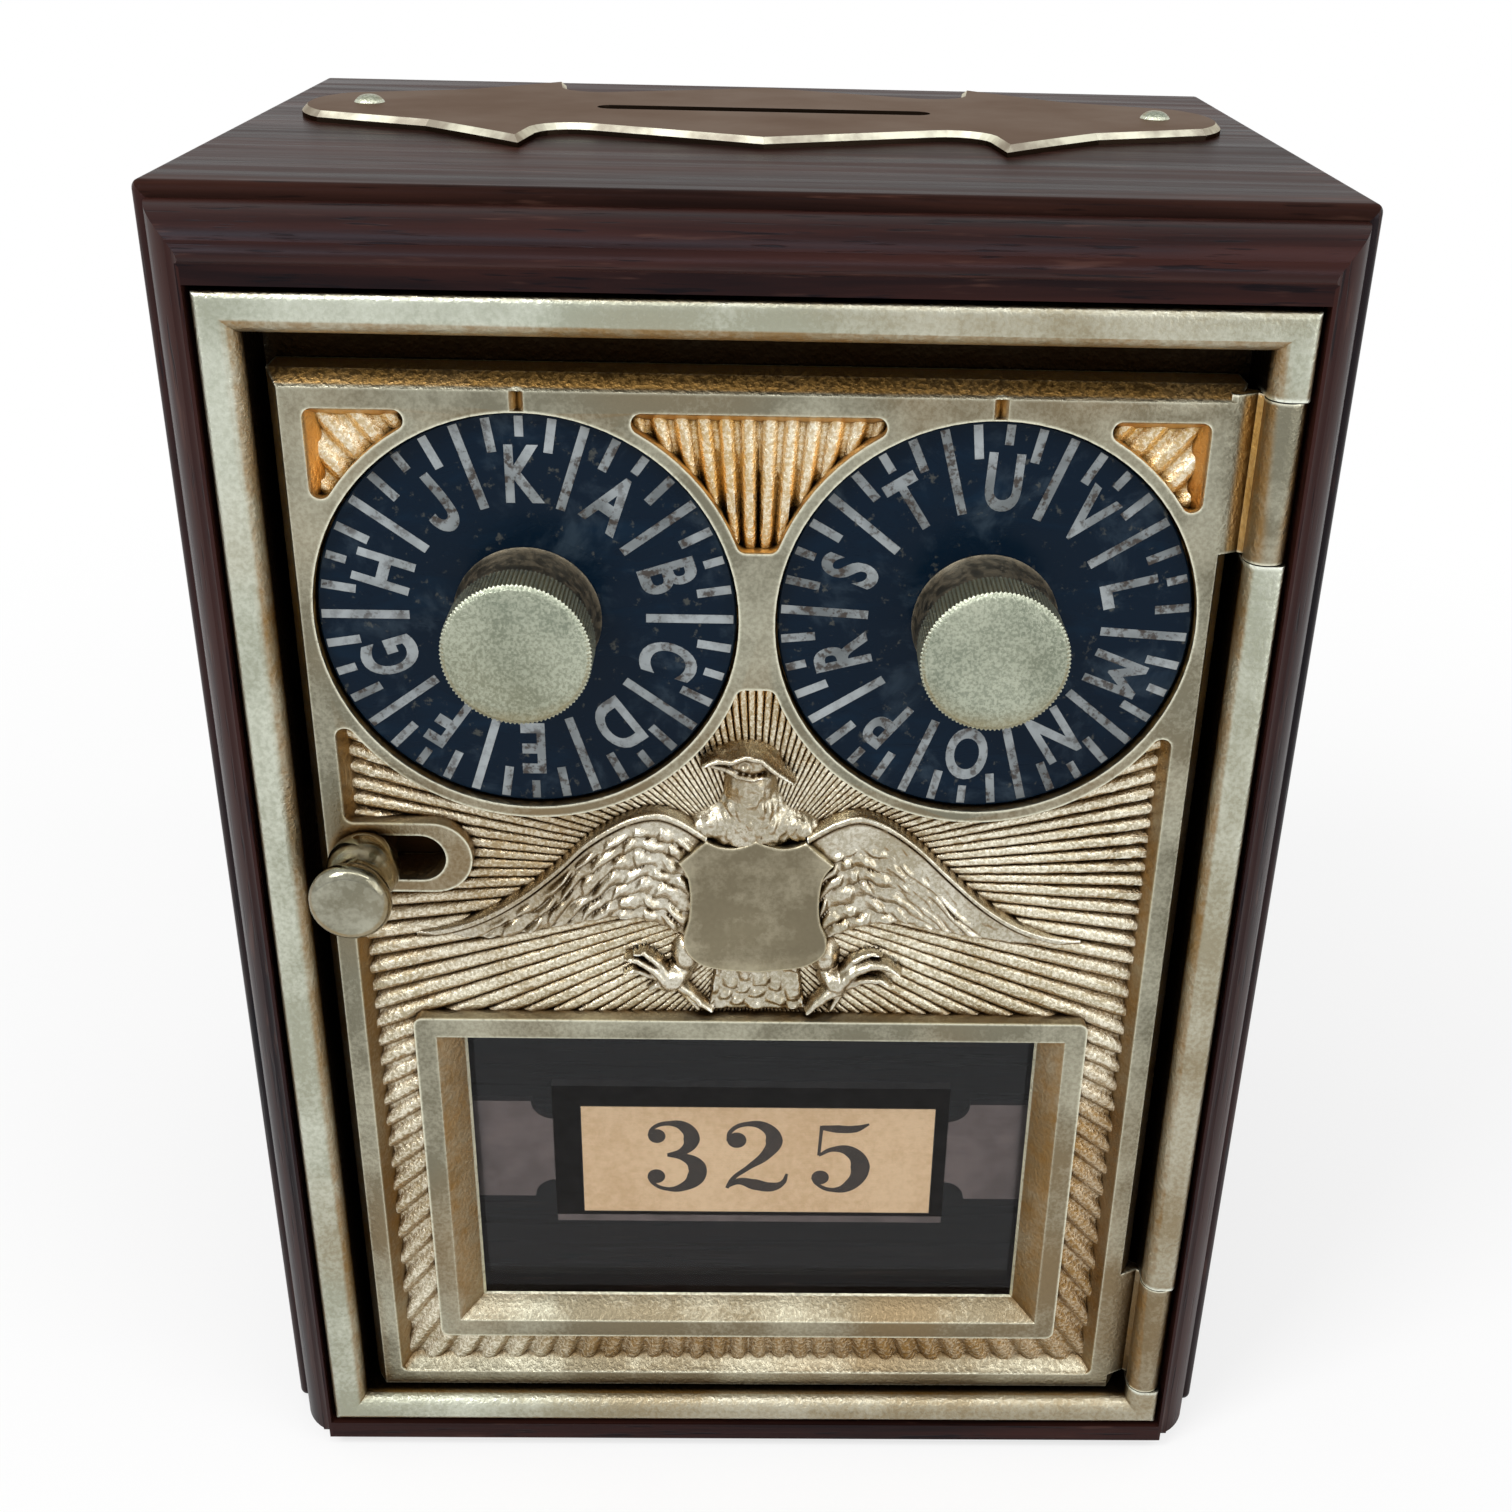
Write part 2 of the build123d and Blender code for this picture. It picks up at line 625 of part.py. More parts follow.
def cut_side_slope(side):
    """Slope from the rim's outer edge back to the door's side."""
    with BuildSketch(Plane.XY) as wedge:
        with BuildLine():
            Polyline(
                (side * RIM_OUT_X, depth(RIM_DEPTH)),
                (side * DOOR_HALF, depth(EDGE_DEPTH)),
                (side * DOOR_HALF, depth(RIM_DEPTH)),
                close=True,
            )
        make_face()
    extrude(wedge.sketch, amount=CASE_HEIGHT, mode=Mode.SUBTRACT)


# The web from the door's rim to its knuckle in x and depth: it dips over the frame's bead.
LEAF_SECTION = (
    (38.6, -2.0),
    (38.6, -4.0),
    (39.1, RIM_DEPTH),
    (40.9, -3.35),
    (41.9, -4.2),
    (42.6, -3.6),
    (42.2, -2.5),
    (41.0, -2.4),
    (40.2, -1.9),
)


def hinge_leaf(z):
    """Knuckle and the web that carries it, between two heights."""
    with BuildPart() as leaf:
        with BuildSketch(Plane.XY.offset(z[0])):
            with BuildLine():
                Polyline(*[(x, depth(d)) for x, d in LEAF_SECTION], close=True)
            make_face()
        extrude(amount=z[1] - z[0])
        hinge_rod(BARREL_R, z)
        hinge_rod(PIN_R + RUNNING_GAP, z, mode=Mode.SUBTRACT)
    return leaf.part


with BuildPart() as door:
    block((-DOOR_HALF, DOOR_HALF), (depth(RIM_DEPTH), depth(BACK_DEPTH)), (DOOR_BOTTOM, DOOR_TOP))
    cut_side_slope(-1)
    cut_side_slope(1)
    with BuildSketch(Plane.YZ.offset(-DOOR_HALF)):
        with BuildLine():
            Polyline(
                (depth(RIM_DEPTH), RIM_OUT_TOP),
                (depth(EDGE_DEPTH), DOOR_TOP),
                (depth(RIM_DEPTH), DOOR_TOP),
                close=True,
            )
        make_face()
    extrude(amount=2 * DOOR_HALF, mode=Mode.SUBTRACT)
    add(sunk_field(), mode=Mode.SUBTRACT)
    add(window_bevel(), mode=Mode.SUBTRACT)
    hole_x, hole_z = window_rect(WINDOW_HOLE)
    block(hole_x, (depth(GLASS_DEPTH[0]), depth(BACK_DEPTH)), hole_z, mode=Mode.SUBTRACT)
    seat_x, seat_z = window_rect((GLASS_HALF[0] + GLASS_CLEAR, GLASS_HALF[1] + GLASS_CLEAR))
    block(seat_x, (depth(GLASS_DEPTH[0]), depth(BACK_DEPTH)), seat_z, mode=Mode.SUBTRACT)
    for x in (-DIAL_X, DIAL_X):
        rod(x, DIAL_Z, WELL_R, RIM_DEPTH, WELL_DEPTH, mode=Mode.SUBTRACT)
        rod(x, DIAL_Z, BEARING_R, BACK_DEPTH, BEARING_DEPTH)
        rod(x, DIAL_Z, SPINDLE_R + RUNNING_GAP, RIM_DEPTH, BEARING_DEPTH, mode=Mode.SUBTRACT)
        with BuildSketch(Plane.XY.offset(RIM_IN_Z[1])):
            with BuildLine():
                Polyline(
                    (x - NOTCH_HALF, depth(RIM_DEPTH)),
                    (x, depth(RIM_DEPTH + NOTCH_DEPTH)),
                    (x + NOTCH_HALF, depth(RIM_DEPTH)),
                    close=True,
                )
            make_face()
        extrude(amount=RIM_OUT_TOP - RIM_IN_Z[1], mode=Mode.SUBTRACT)
    with BuildSketch(front_plane(BACK_DEPTH)):
        with Locations((LATCH_SLOT_X, LATCH_Z)):
            SlotOverall(*LATCH_SLOT)
    extrude(amount=BACK_DEPTH - RIM_DEPTH, mode=Mode.SUBTRACT)
    for x, z in COVER_POSTS:
        rod(x, z, COVER_PILOT_R, PILOT_DEPTH, BACK_DEPTH, mode=Mode.SUBTRACT)
    for x in (-HOLDER_SCREW_X, HOLDER_SCREW_X):
        for z in HOLDER_SCREW_Z:
            rod(x, z, HOLDER_PILOT_R, PILOT_DEPTH, BACK_DEPTH, mode=Mode.SUBTRACT)
    for z in GUIDE_SCREW_Z:
        rod(GUIDE_X, z, GUIDE_PILOT_R, PILOT_DEPTH, BACK_DEPTH, mode=Mode.SUBTRACT)
    for span in KNUCKLES:
        add(hinge_leaf(span))
save(door.part, "door")

# ---- window -------------------------------------------------------------------------------
CARD_X = (-17.4, 18.9)
CARD_Z = (27.4, 41.0)
CARD_DEPTH = (0.5, 0.8)
HOLDER_HALF = 20.3
HOLDER_Z = (25.8, 43.6)
HOLDER_DEPTH = 1.6
EAR_HALF = 34.4
EAR_Z = (29.1, 41.4)
EAR_R = 2.2                # hollow corners where the ears leave the plate

with BuildPart() as glass:
    glass_x, glass_z = window_rect(GLASS_HALF)
    block(glass_x, (depth(GLASS_DEPTH[0]), depth(GLASS_DEPTH[1])), glass_z)
save(glass.part, "window_glass")

with BuildPart() as card:
    block(CARD_X, (depth(CARD_DEPTH[0]), depth(CARD_DEPTH[1])), CARD_Z)
save(card.part, "number_card")

with BuildPart() as holder:
    with BuildSketch(front_plane(HOLDER_DEPTH)):
        rectangle((-EAR_HALF, EAR_HALF), EAR_Z)
        rectangle((-HOLDER_HALF, HOLDER_HALF), HOLDER_Z)
        for x in (-HOLDER_HALF, HOLDER_HALF):
            for z in EAR_Z:
                with Locations((x, z)):
                    Circle(EAR_R, mode=Mode.SUBTRACT)
    extrude(amount=HOLDER_DEPTH - CARD_DEPTH[1])
    block(
        (-HOLDER_HALF, HOLDER_HALF),
        (depth(CARD_DEPTH[0]), depth(CARD_DEPTH[1])),
        (EAR_Z[0] - EAR_R, EAR_Z[1] + EAR_R),
    )
    block(
        (CARD_X[0] - GLASS_CLEAR, CARD_X[1] + GLASS_CLEAR),
        (depth(CARD_DEPTH[0]), depth(CARD_DEPTH[1])),
        (CARD_Z[0] - GLASS_CLEAR, CARD_Z[1] + GLASS_CLEAR),
        mode=Mode.SUBTRACT,
    )
    for x in (-HOLDER_SCREW_X, HOLDER_SCREW_X):
        for z in HOLDER_SCREW_Z:
            rod(x, z, HOLDER_PILOT_R + 0.1, 0, HOLDER_DEPTH, mode=Mode.SUBTRACT)
save(holder.part, "card_holder")


def from_behind(x, z, seat):
    """Plane for a screw driven towards the viewer from a seat at this depth."""
    return Plane(origin=(x, depth(seat), z), x_dir=(1, 0, 0), z_dir=(0, -1, 0))


placed_group(
    cheese_screw(*SMALL_HEAD, HOLDER_PILOT_R, HOLDER_DEPTH - PILOT_DEPTH - PILOT_END),
    [from_behind(x, z, HOLDER_DEPTH) for x in (-HOLDER_SCREW_X, HOLDER_SCREW_X) for z in HOLDER_SCREW_Z],
    "card_holder_screws",
)

# ---- dials, knobs, spindles and lock wheels -----------------------------------------------
DIAL_FACE = -3.3
DIAL_BACK = -2.1
HUB_R = (6.05, 5.7)
HUB_DEPTH = (-3.8, -8.0)
KNOB_R = 6.3
KNOB_DEPTH = (-12.1, -8.0)
KNOB_EDGE = 0.4
SPINDLE_FRONT = -10.8
SPINDLE_SQUARE = 3.5
WHEEL_DEPTH = (3.0, 5.4)
WHEEL_R = 12.0
WHEEL_EDGE = 0.3
GATE = (4.0, 3.0)          # width and depth of the notch in a wheel's edge
WASHER = (3.3, 0.5)
WHEEL_SCREW = (3.0, 1.2, 1.0, 4.4)
WHEEL_SQUARE_GAP = 0.02


def dial(x):
    """Lettered disc with its raised hub."""
    with BuildPart() as disc:
        turned(x, DIAL_Z, (
            (SPINDLE_R, DIAL_BACK),
            (DIAL_R, DIAL_BACK),
            (DIAL_R, DIAL_FACE + 0.15),
            (DIAL_R - 0.15, DIAL_FACE),
            (HUB_R[0], DIAL_FACE),
            (HUB_R[0], HUB_DEPTH[0]),
            (HUB_R[1], HUB_DEPTH[1]),
            (SPINDLE_R, HUB_DEPTH[1]),
        ))
    return disc.part


def dial_knob(x):
    """Turned knob, bored from behind for the spindle."""
    with BuildPart() as knob:
        turned(x, DIAL_Z, (
            (0, KNOB_DEPTH[0]),
            (KNOB_R - KNOB_EDGE, KNOB_DEPTH[0]),
            (KNOB_R, KNOB_DEPTH[0] + KNOB_EDGE),
            (KNOB_R, KNOB_DEPTH[1] - KNOB_EDGE),
            (KNOB_R - KNOB_EDGE, KNOB_DEPTH[1]),
            (SPINDLE_R, KNOB_DEPTH[1]),
            (SPINDLE_R, SPINDLE_FRONT),
            (0, SPINDLE_FRONT),
        ))
    return knob.part


def spindle(x):
    """Round shaft with a square end for the wheel and a hole for the wheel's screw."""
    with BuildPart() as shaft:
        rod(x, DIAL_Z, SPINDLE_R, SPINDLE_FRONT, WHEEL_DEPTH[0])
        half = SPINDLE_SQUARE / 2
        block(
            (x - half, x + half),
            (depth(WHEEL_DEPTH[0]), depth(WHEEL_DEPTH[1])),
            (DIAL_Z - half, DIAL_Z + half),
        )
        rod(x, DIAL_Z, WHEEL_SCREW[2], 0, WHEEL_DEPTH[1], mode=Mode.SUBTRACT)
    return shaft.part


def lock_wheel(x):
    """Wheel with its gate at the bottom and a square hole."""
    with BuildPart() as wheel:
        rod(x, DIAL_Z, WHEEL_R, *WHEEL_DEPTH)
        chamfer(wheel.edges().filter_by(GeomType.CIRCLE), WHEEL_EDGE)
        half = SPINDLE_SQUARE / 2 + WHEEL_SQUARE_GAP
        thickness = (depth(WHEEL_DEPTH[0]), depth(WHEEL_DEPTH[1]))
        block((x - half, x + half), thickness, (DIAL_Z - half, DIAL_Z + half), mode=Mode.SUBTRACT)
        gate_x = (x - GATE[0] / 2, x + GATE[0] / 2)
        gate_z = (DIAL_Z - WHEEL_R, DIAL_Z - WHEEL_R + GATE[1])
        block(gate_x, thickness, gate_z, mode=Mode.SUBTRACT)
    return wheel.part


def wheel_washer(x):
    with BuildPart() as washer:
        rod(x, DIAL_Z, WASHER[0], WHEEL_DEPTH[1], WHEEL_DEPTH[1] + WASHER[1])
        rod(x, DIAL_Z, WHEEL_SCREW[2] + 0.1, WHEEL_DEPTH[1], WHEEL_DEPTH[1] + WASHER[1], mode=Mode.SUBTRACT)
    return washer.part


for hand, x in (("left", -DIAL_X), ("right", DIAL_X)):
    save(dial(x), f"dial_{hand}")
    save(dial_knob(x), f"dial_knob_{hand}")
    save(spindle(x), f"spindle_{hand}")
    save(lock_wheel(x), f"lock_wheel_{hand}")
    save(wheel_washer(x), f"wheel_washer_{hand}")
    placed_group(
        cheese_screw(*WHEEL_SCREW),
        [from_behind(x, DIAL_Z, WHEEL_DEPTH[1] + WASHER[1])],
        f"wheel_screw_{hand}",
    )

# ---- latch knob, bolt and fence -----------------------------------------------------------
BOLT_X = (-43.9, -10.0)
BOLT_BEVEL = 1.6
STUD_R = 1.2
SHANK_R = 2.1
LATCH_SEAT = -4.35
FENCE_DEPTH = (3.4, 5.2)
FENCE_ARM_X = (-17.0, -11.0)
FENCE_BAR_X = (-23.0, 23.0)
FENCE_BAR_Z = (79.4, 82.6)
NOSE_TOP = 83.95
NOSE_HALF = 1.6
FENCE_SCREW = (1.6, 1.0, 0.9, 3.4)
FENCE_SCREW_X = -14.0
FENCE_SCREW_Z = (71.0, 74.6)
GUIDE_HALF = 2.0
GUIDE_FEET_Z = (LATCH_Z - 9.3, LATCH_Z + 9.3)
GUIDE_GAP = 0.3
GUIDE_THICK = 0.8

with BuildPart() as latch_knob:
    turned(LATCH_X, LATCH_Z, (
        (0, -13.0),
        (2.9, -13.0),
        (3.35, -12.75),
        (3.65, -12.1),
        (3.55, -11.3),
        (2.9, -10.4),
        (2.35, -9.5),
        (2.3, -8.7),
        (2.7, -8.0),
        (3.15, -7.2),
        (3.3, -6.3),
        (3.2, -5.4),
        (2.8, LATCH_SEAT),
        (SHANK_R, LATCH_SEAT),
        (SHANK_R, BOLT_DEPTH[0]),
        (STUD_R, BOLT_DEPTH[0]),
        (STUD_R, BOLT_DEPTH[1]),
        (0, BOLT_DEPTH[1]),
    ))
save(latch_knob.part, "latch_knob")

with BuildPart() as bolt:
    block(BOLT_X, (depth(BOLT_DEPTH[0]), depth(BOLT_DEPTH[1])), BOLT_Z)
    tip_edge = bolt.faces().sort_by(Axis.X)[0].edges().sort_by(Axis.Y)[-1]
    chamfer(tip_edge, BOLT_BEVEL)
    rod(LATCH_X, LATCH_Z, STUD_R, *BOLT_DEPTH, mode=Mode.SUBTRACT)
    for z in FENCE_SCREW_Z:
        rod(FENCE_SCREW_X, z, FENCE_SCREW[2], *BOLT_DEPTH, mode=Mode.SUBTRACT)
save(bolt.part, "bolt")

with BuildPart() as fence_lever:
    span = (depth(FENCE_DEPTH[0]), depth(FENCE_DEPTH[1]))
    block(FENCE_ARM_X, span, (BOLT_Z[0] + 1.0, FENCE_BAR_Z[1]))
    block(FENCE_BAR_X, span, FENCE_BAR_Z)
    for x in (-DIAL_X, DIAL_X):
        block((x - NOSE_HALF, x + NOSE_HALF), span, (FENCE_BAR_Z[0], NOSE_TOP))
    for z in FENCE_SCREW_Z:
        rod(FENCE_SCREW_X, z, FENCE_SCREW[2] + 0.1, *FENCE_DEPTH, mode=Mode.SUBTRACT)
save(fence_lever.part, "fence_lever")

placed_group(
    cheese_screw(*FENCE_SCREW),
    [from_behind(FENCE_SCREW_X, z, FENCE_DEPTH[1]) for z in FENCE_SCREW_Z],
    "fence_screws",
)

with BuildPart() as bolt_guide:
    guide_x = (GUIDE_X - GUIDE_HALF, GUIDE_X + GUIDE_HALF)
    inner_z = (BOLT_Z[0] - GUIDE_GAP, BOLT_Z[1] + GUIDE_GAP)
    outer_z = (inner_z[0] - GUIDE_THICK, inner_z[1] + GUIDE_THICK)
    roof = BOLT_DEPTH[1] + GUIDE_GAP
    block(guide_x, (depth(BACK_DEPTH), depth(BACK_DEPTH + GUIDE_THICK)), GUIDE_FEET_Z)
    block(guide_x, (depth(BACK_DEPTH), depth(roof + GUIDE_THICK)), outer_z)
    block(guide_x, (depth(BACK_DEPTH), depth(roof)), inner_z, mode=Mode.SUBTRACT)
    for z in GUIDE_SCREW_Z:
        rod(GUIDE_X, z, GUIDE_PILOT_R + 0.1, BACK_DEPTH, BACK_DEPTH + GUIDE_THICK, mode=Mode.SUBTRACT)
save(bolt_guide.part, "bolt_guide")

placed_group(
    cheese_screw(*SMALL_HEAD, GUIDE_PILOT_R, BACK_DEPTH + GUIDE_THICK - PILOT_DEPTH - PILOT_END),
    [from_behind(GUIDE_X, z, BACK_DEPTH + GUIDE_THICK) for z in GUIDE_SCREW_Z],
    "bolt_guide_screws",
)

# ---- lock cover ---------------------------------------------------------------------------
COVER_X = 36.0
COVER_Z = (61.0, 113.0)
COVER_DEPTH = 8.8
COVER_WALL = 1.2
COVER_CORNER_R = 3.0
COVER_EDGE = 0.6
POST_R = 2.7
ACCESS_R = 3.5
COVER_SCREW = (1.7, 1.2, COVER_PILOT_R)

with BuildPart() as cover:
    block((-COVER_X, COVER_X), (depth(BACK_DEPTH), depth(COVER_DEPTH)), COVER_Z)
    fillet(cover.edges().filter_by(Axis.Y), COVER_CORNER_R)
    chamfer(cover.faces().sort_by(Axis.Y)[-1].edges(), COVER_EDGE)
    block(
        (-COVER_X + COVER_WALL, COVER_X - COVER_WALL),
        (depth(BACK_DEPTH), depth(COVER_DEPTH - COVER_WALL)),
        (COVER_Z[0] + COVER_WALL, COVER_Z[1] - COVER_WALL),
        mode=Mode.SUBTRACT,
    )
    for x, z in COVER_POSTS:
        rod(x, z, POST_R, BACK_DEPTH, COVER_DEPTH - COVER_WALL)
    for x, z in COVER_POSTS:
        rod(x, z, COVER_PILOT_R + 0.15, BACK_DEPTH, COVER_DEPTH, mode=Mode.SUBTRACT)
    for x in (-DIAL_X, DIAL_X):
        rod(x, DIAL_Z, ACCESS_R, COVER_DEPTH - COVER_WALL, COVER_DEPTH, mode=Mode.SUBTRACT)
    block((-COVER_X, -COVER_X + COVER_WALL), (depth(BACK_DEPTH), STRIKE_Y[1]), STRIKE_Z, mode=Mode.SUBTRACT)
save(cover.part, "lock_cover")

placed_group(
    cheese_screw(*COVER_SCREW, COVER_DEPTH - PILOT_DEPTH - PILOT_END),
    [from_behind(x, z, COVER_DEPTH) for x, z in COVER_POSTS],
    "cover_screws",
)
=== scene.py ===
import bpy
import bmesh
import random
from math import atan2, cos, hypot, pi, radians, sin
from mathutils import Matrix, Vector, noise


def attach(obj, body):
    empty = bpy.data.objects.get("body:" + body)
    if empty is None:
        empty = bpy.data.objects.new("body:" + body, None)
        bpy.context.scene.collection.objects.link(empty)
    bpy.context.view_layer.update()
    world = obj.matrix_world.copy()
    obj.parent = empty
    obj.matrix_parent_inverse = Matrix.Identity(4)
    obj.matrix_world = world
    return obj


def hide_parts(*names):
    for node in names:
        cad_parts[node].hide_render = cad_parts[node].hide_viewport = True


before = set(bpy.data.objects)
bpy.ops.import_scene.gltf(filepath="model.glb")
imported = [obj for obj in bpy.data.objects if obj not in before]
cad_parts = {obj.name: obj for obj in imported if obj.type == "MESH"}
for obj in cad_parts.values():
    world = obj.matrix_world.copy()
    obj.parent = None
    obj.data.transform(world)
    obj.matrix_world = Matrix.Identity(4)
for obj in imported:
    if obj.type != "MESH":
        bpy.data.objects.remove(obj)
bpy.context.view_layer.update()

# Everything is in metres. Sizes below are written in millimetres and multiplied by MM.
MM = 0.001
FACE = -32.3               # y of the case boards' front edges
FIELD = FACE - 2.2         # y of the door's sunk field
RIM = FACE - 4.2           # y of the polished rim, rings and window border
DIAL_X = {"left": -19.8, "right": 19.8}    # where each dial's spindle is
DIAL_Z = 96.25
RAY_CENTRE = (0.0, 70.0)
RAY_DROP = 7.0             # the rays that run downwards start this much lower


# ---- materials ----

def srgb(r, g, b):
    """Linear colour from 8-bit screen values."""
    def lin(v):
        v /= 255
        return v / 12.92 if v <= 0.04045 else ((v + 0.055) / 1.055) ** 2.4
    return (lin(r), lin(g), lin(b), 1.0)


class Tree:
    """Short calls for building a node tree."""

    def __init__(self, tree):
        self.tree = tree
        self.nodes = tree.nodes
        self.links = tree.links

    def add(self, kind, **settings):
        node = self.nodes.new(kind)
        inputs = settings.pop("inputs", {})
        for name, value in settings.items():
            setattr(node, name, value)
        self.fill(node, inputs)
        return node

    def fill(self, node, inputs):
        for name, value in inputs.items():
            self.feed(node.inputs[name], value)

    def feed(self, socket, value):
        if isinstance(value, bpy.types.NodeSocket):
            self.links.new(value, socket)
        else:
            socket.default_value = value

    def math(self, operation, a, b=0.0, clamp=False):
        return self.add("ShaderNodeMath", operation=operation, use_clamp=clamp, inputs={
            0: a, 1: b}).outputs[0]

    def times(self, a, b):
        return self.math("MULTIPLY", a, b)

    def mix(self, factor, a, b, kind="RGBA"):
        return self.add("ShaderNodeMix", data_type=kind, inputs={
            "Factor": factor, "A": a, "B": b}).outputs["Result"]

    def span(self, value, low, high, out_low=0.0, out_high=1.0):
        """Smooth step from out_low at low to out_high at high."""
        return self.add("ShaderNodeMapRange", interpolation_type="SMOOTHSTEP", inputs={
            "Value": value, "From Min": low, "From Max": high, "To Min": out_low,
            "To Max": out_high}).outputs["Result"]

    def noise(self, vector, scale, detail=3.0, rough=0.55, distortion=0.0):
        node = self.add("ShaderNodeTexNoise", inputs={
            "Vector": vector, "Scale": scale, "Detail": detail, "Roughness": rough,
            "Distortion": distortion})
        return node.outputs["Fac"]

    def mapped(self, scale=(1, 1, 1), rotation=(0, 0, 0), location=(0, 0, 0)):
        """Object coordinates, scaled, turned and moved."""
        coordinates = self.add("ShaderNodeTexCoord").outputs["Object"]
        node = self.add("ShaderNodeMapping", inputs={
            "Vector": coordinates, "Scale": scale, "Rotation": rotation, "Location": location})
        return node.outputs["Vector"]


def shader_group(name, inputs):
    """Group that takes the inputs, listed by kind, and puts out colour, roughness and height."""
    tree = bpy.data.node_groups.new(name, "ShaderNodeTree")
    for kind, sockets in inputs.items():
        for socket in sockets:
            tree.interface.new_socket(socket, in_out="INPUT", socket_type="NodeSocket" + kind)
    for socket, kind in (("Color", "Color"), ("Roughness", "Float"), ("Height", "Float")):
        tree.interface.new_socket(socket, in_out="OUTPUT", socket_type="NodeSocket" + kind)
    build = Tree(tree)
    return build, build.add("NodeGroupInput").outputs, build.add("NodeGroupOutput")


FRONT_SIDE = (0, -0.8, 0.6)    # faces turned this way keep the clean colour; slopes take a painted reflection
FOOT = 38                      # height below which the painted shade at the foot is full
FOOT_SHADE_LEFT = (-34, -8)       # the painted shade at the foot fades to the left over these x


def slope_reflection_share(build):
    """1 on slopes, which take a painted reflection; 0 on faces that look the front way."""
    normal = build.add("ShaderNodeTexCoord").outputs["Normal"]
    facing = build.add("ShaderNodeVectorMath", operation="DOT_PRODUCT", inputs={
        0: normal, 1: FRONT_SIDE}).outputs["Value"]
    return build.span(facing, 0.78, 0.60)


def edge_share(build, given, grain):
    """1 on edges, which take a painted catch-light with some wear, broken up by the grain."""
    inner = build.add("ShaderNodeAmbientOcclusion", samples=8, inside=True, only_local=True, inputs={
        "Distance": given["Edge Reach"]}).outputs["AO"]
    return build.times(build.span(inner, 0.97, 0.70), build.span(grain, 0.3, 0.5, 0.5, 1.0))


def foot_shade_share(build, given, where):
    """Painted shade that grows towards the foot and fades to the left."""
    foot_shade = build.span(where["Z"], given["Foot Shade Top"], FOOT * MM, 0.0, given["Foot Shade"])
    fade = build.span(where["X"], FOOT_SHADE_LEFT[0] * MM, FOOT_SHADE_LEFT[1] * MM, 0.2, 1.0)
    return build.times(foot_shade, fade)


def make_cast_metal_group():
    """Cast metal: clean where it faces out, a painted reflection on slopes, grime and painted shade in
    hollows, and painted catch-lights with some wear on edges.
    """
    build, given, out = shader_group("cast_metal", {
        "Color": ("Clean", "Slope", "Dirt And Shade", "Bright", "Gold"),
        "Float": ("Grain", "Mottle", "Dirt And Shade Reach", "Edge Reach", "Upper Reflection Low", "Upper Reflection High",
                  "Upper Reflection Share", "Foot Shade", "Foot Shade Top", "Sink Start", "Sink End", "Smooth", "Rough"),
    })
    place = build.mapped()
    grain = build.noise(place, given["Grain"], 3, 0.6)
    broad = build.noise(place, 90.0, 4, 0.6)
    stain = build.noise(place, 420.0, 4, 0.65, 0.4)
    patina = build.noise(place, 26.0, 3, 0.5)
    # Occlusion finds the hollows, which take grime and painted shade.
    hollow = build.add("ShaderNodeAmbientOcclusion", samples=8, inputs={
        "Distance": given["Dirt And Shade Reach"]}).outputs["AO"]
    where = build.add("ShaderNodeSeparateXYZ", inputs={"Vector": place}).outputs
    # painted warm reflection: behind the rim the brass turns gold towards the top
    below_rim = build.span(where["Y"], (RIM + 0.1) * MM, (RIM + 0.5) * MM)
    upper_reflection = build.span(where["Z"], given["Upper Reflection Low"], given["Upper Reflection High"])
    upper_reflection = build.times(below_rim, upper_reflection)
    # painted shade and soot: deep in the recess the brass turns golden, then near black
    sunk = build.span(where["Y"], given["Sink Start"], given["Sink End"])
    open_face = build.span(hollow, 0.30, 0.85)
    # dark in deep hollows: grime and painted shade
    dirt_and_shade = build.math("SUBTRACT", 1.0, open_face, clamp=True)
    dirt_and_shade = build.math("MULTIPLY", dirt_and_shade, build.span(stain, 0.25, 0.6, 0.7, 1.0), clamp=True)
    # painted reflection: slopes take the slope colour, varied by the stain
    golden = build.times(slope_reflection_share(build), build.span(stain, 0.3, 0.7, 0.95, 0.6))
    for share in (
        # shallow hollows turn golden: patina and painted warm shade
        build.span(hollow, 0.95, 0.60, 0.0, 0.75),
        build.span(patina, 0.45, 0.66, 0.0, 0.45),
        build.times(upper_reflection, given["Upper Reflection Share"]),
        # painted shade towards the foot
        foot_shade_share(build, given, where),
        build.span(sunk, 0.0, 0.3),
    ):
        golden = build.math("MAXIMUM", golden, share)
    dirt_and_shade = build.math("MAXIMUM", dirt_and_shade, build.span(sunk, 0.15, 1.0, 0.0, 0.97))
    # painted glints over the casting's grain: open faces speckle towards the painted highlight colour
    speckle = build.times(build.span(grain, 0.36, 0.64), given["Mottle"])
    tone = build.math("ADD", speckle, build.span(broad, 0.3, 0.7, -0.2, 0.28), clamp=True)
    tone = build.times(tone, build.span(golden, 0.0, 1.0, 1.0, 0.4))
    colour = build.mix(golden, given["Clean"], build.mix(upper_reflection, given["Slope"], given["Gold"]))
    colour = build.mix(build.times(tone, open_face), colour, given["Bright"])
    colour = build.mix(dirt_and_shade, colour, given["Dirt And Shade"])
    # edges take the painted highlight colour: painted catch-lights with some wear
    edge = build.times(edge_share(build, given, grain), open_face)
    fine = build.span(grain, 0.35, 0.65)
    build.fill(out, {
        "Color": build.mix(edge, colour, given["Bright"]),
        "Roughness": build.mix(fine, given["Rough"], given["Smooth"], "FLOAT"),
        "Height": build.math("ADD", grain, build.times(broad, 0.6))})
    return build.tree


FLECK_COLOUR = srgb(84, 57, 48)


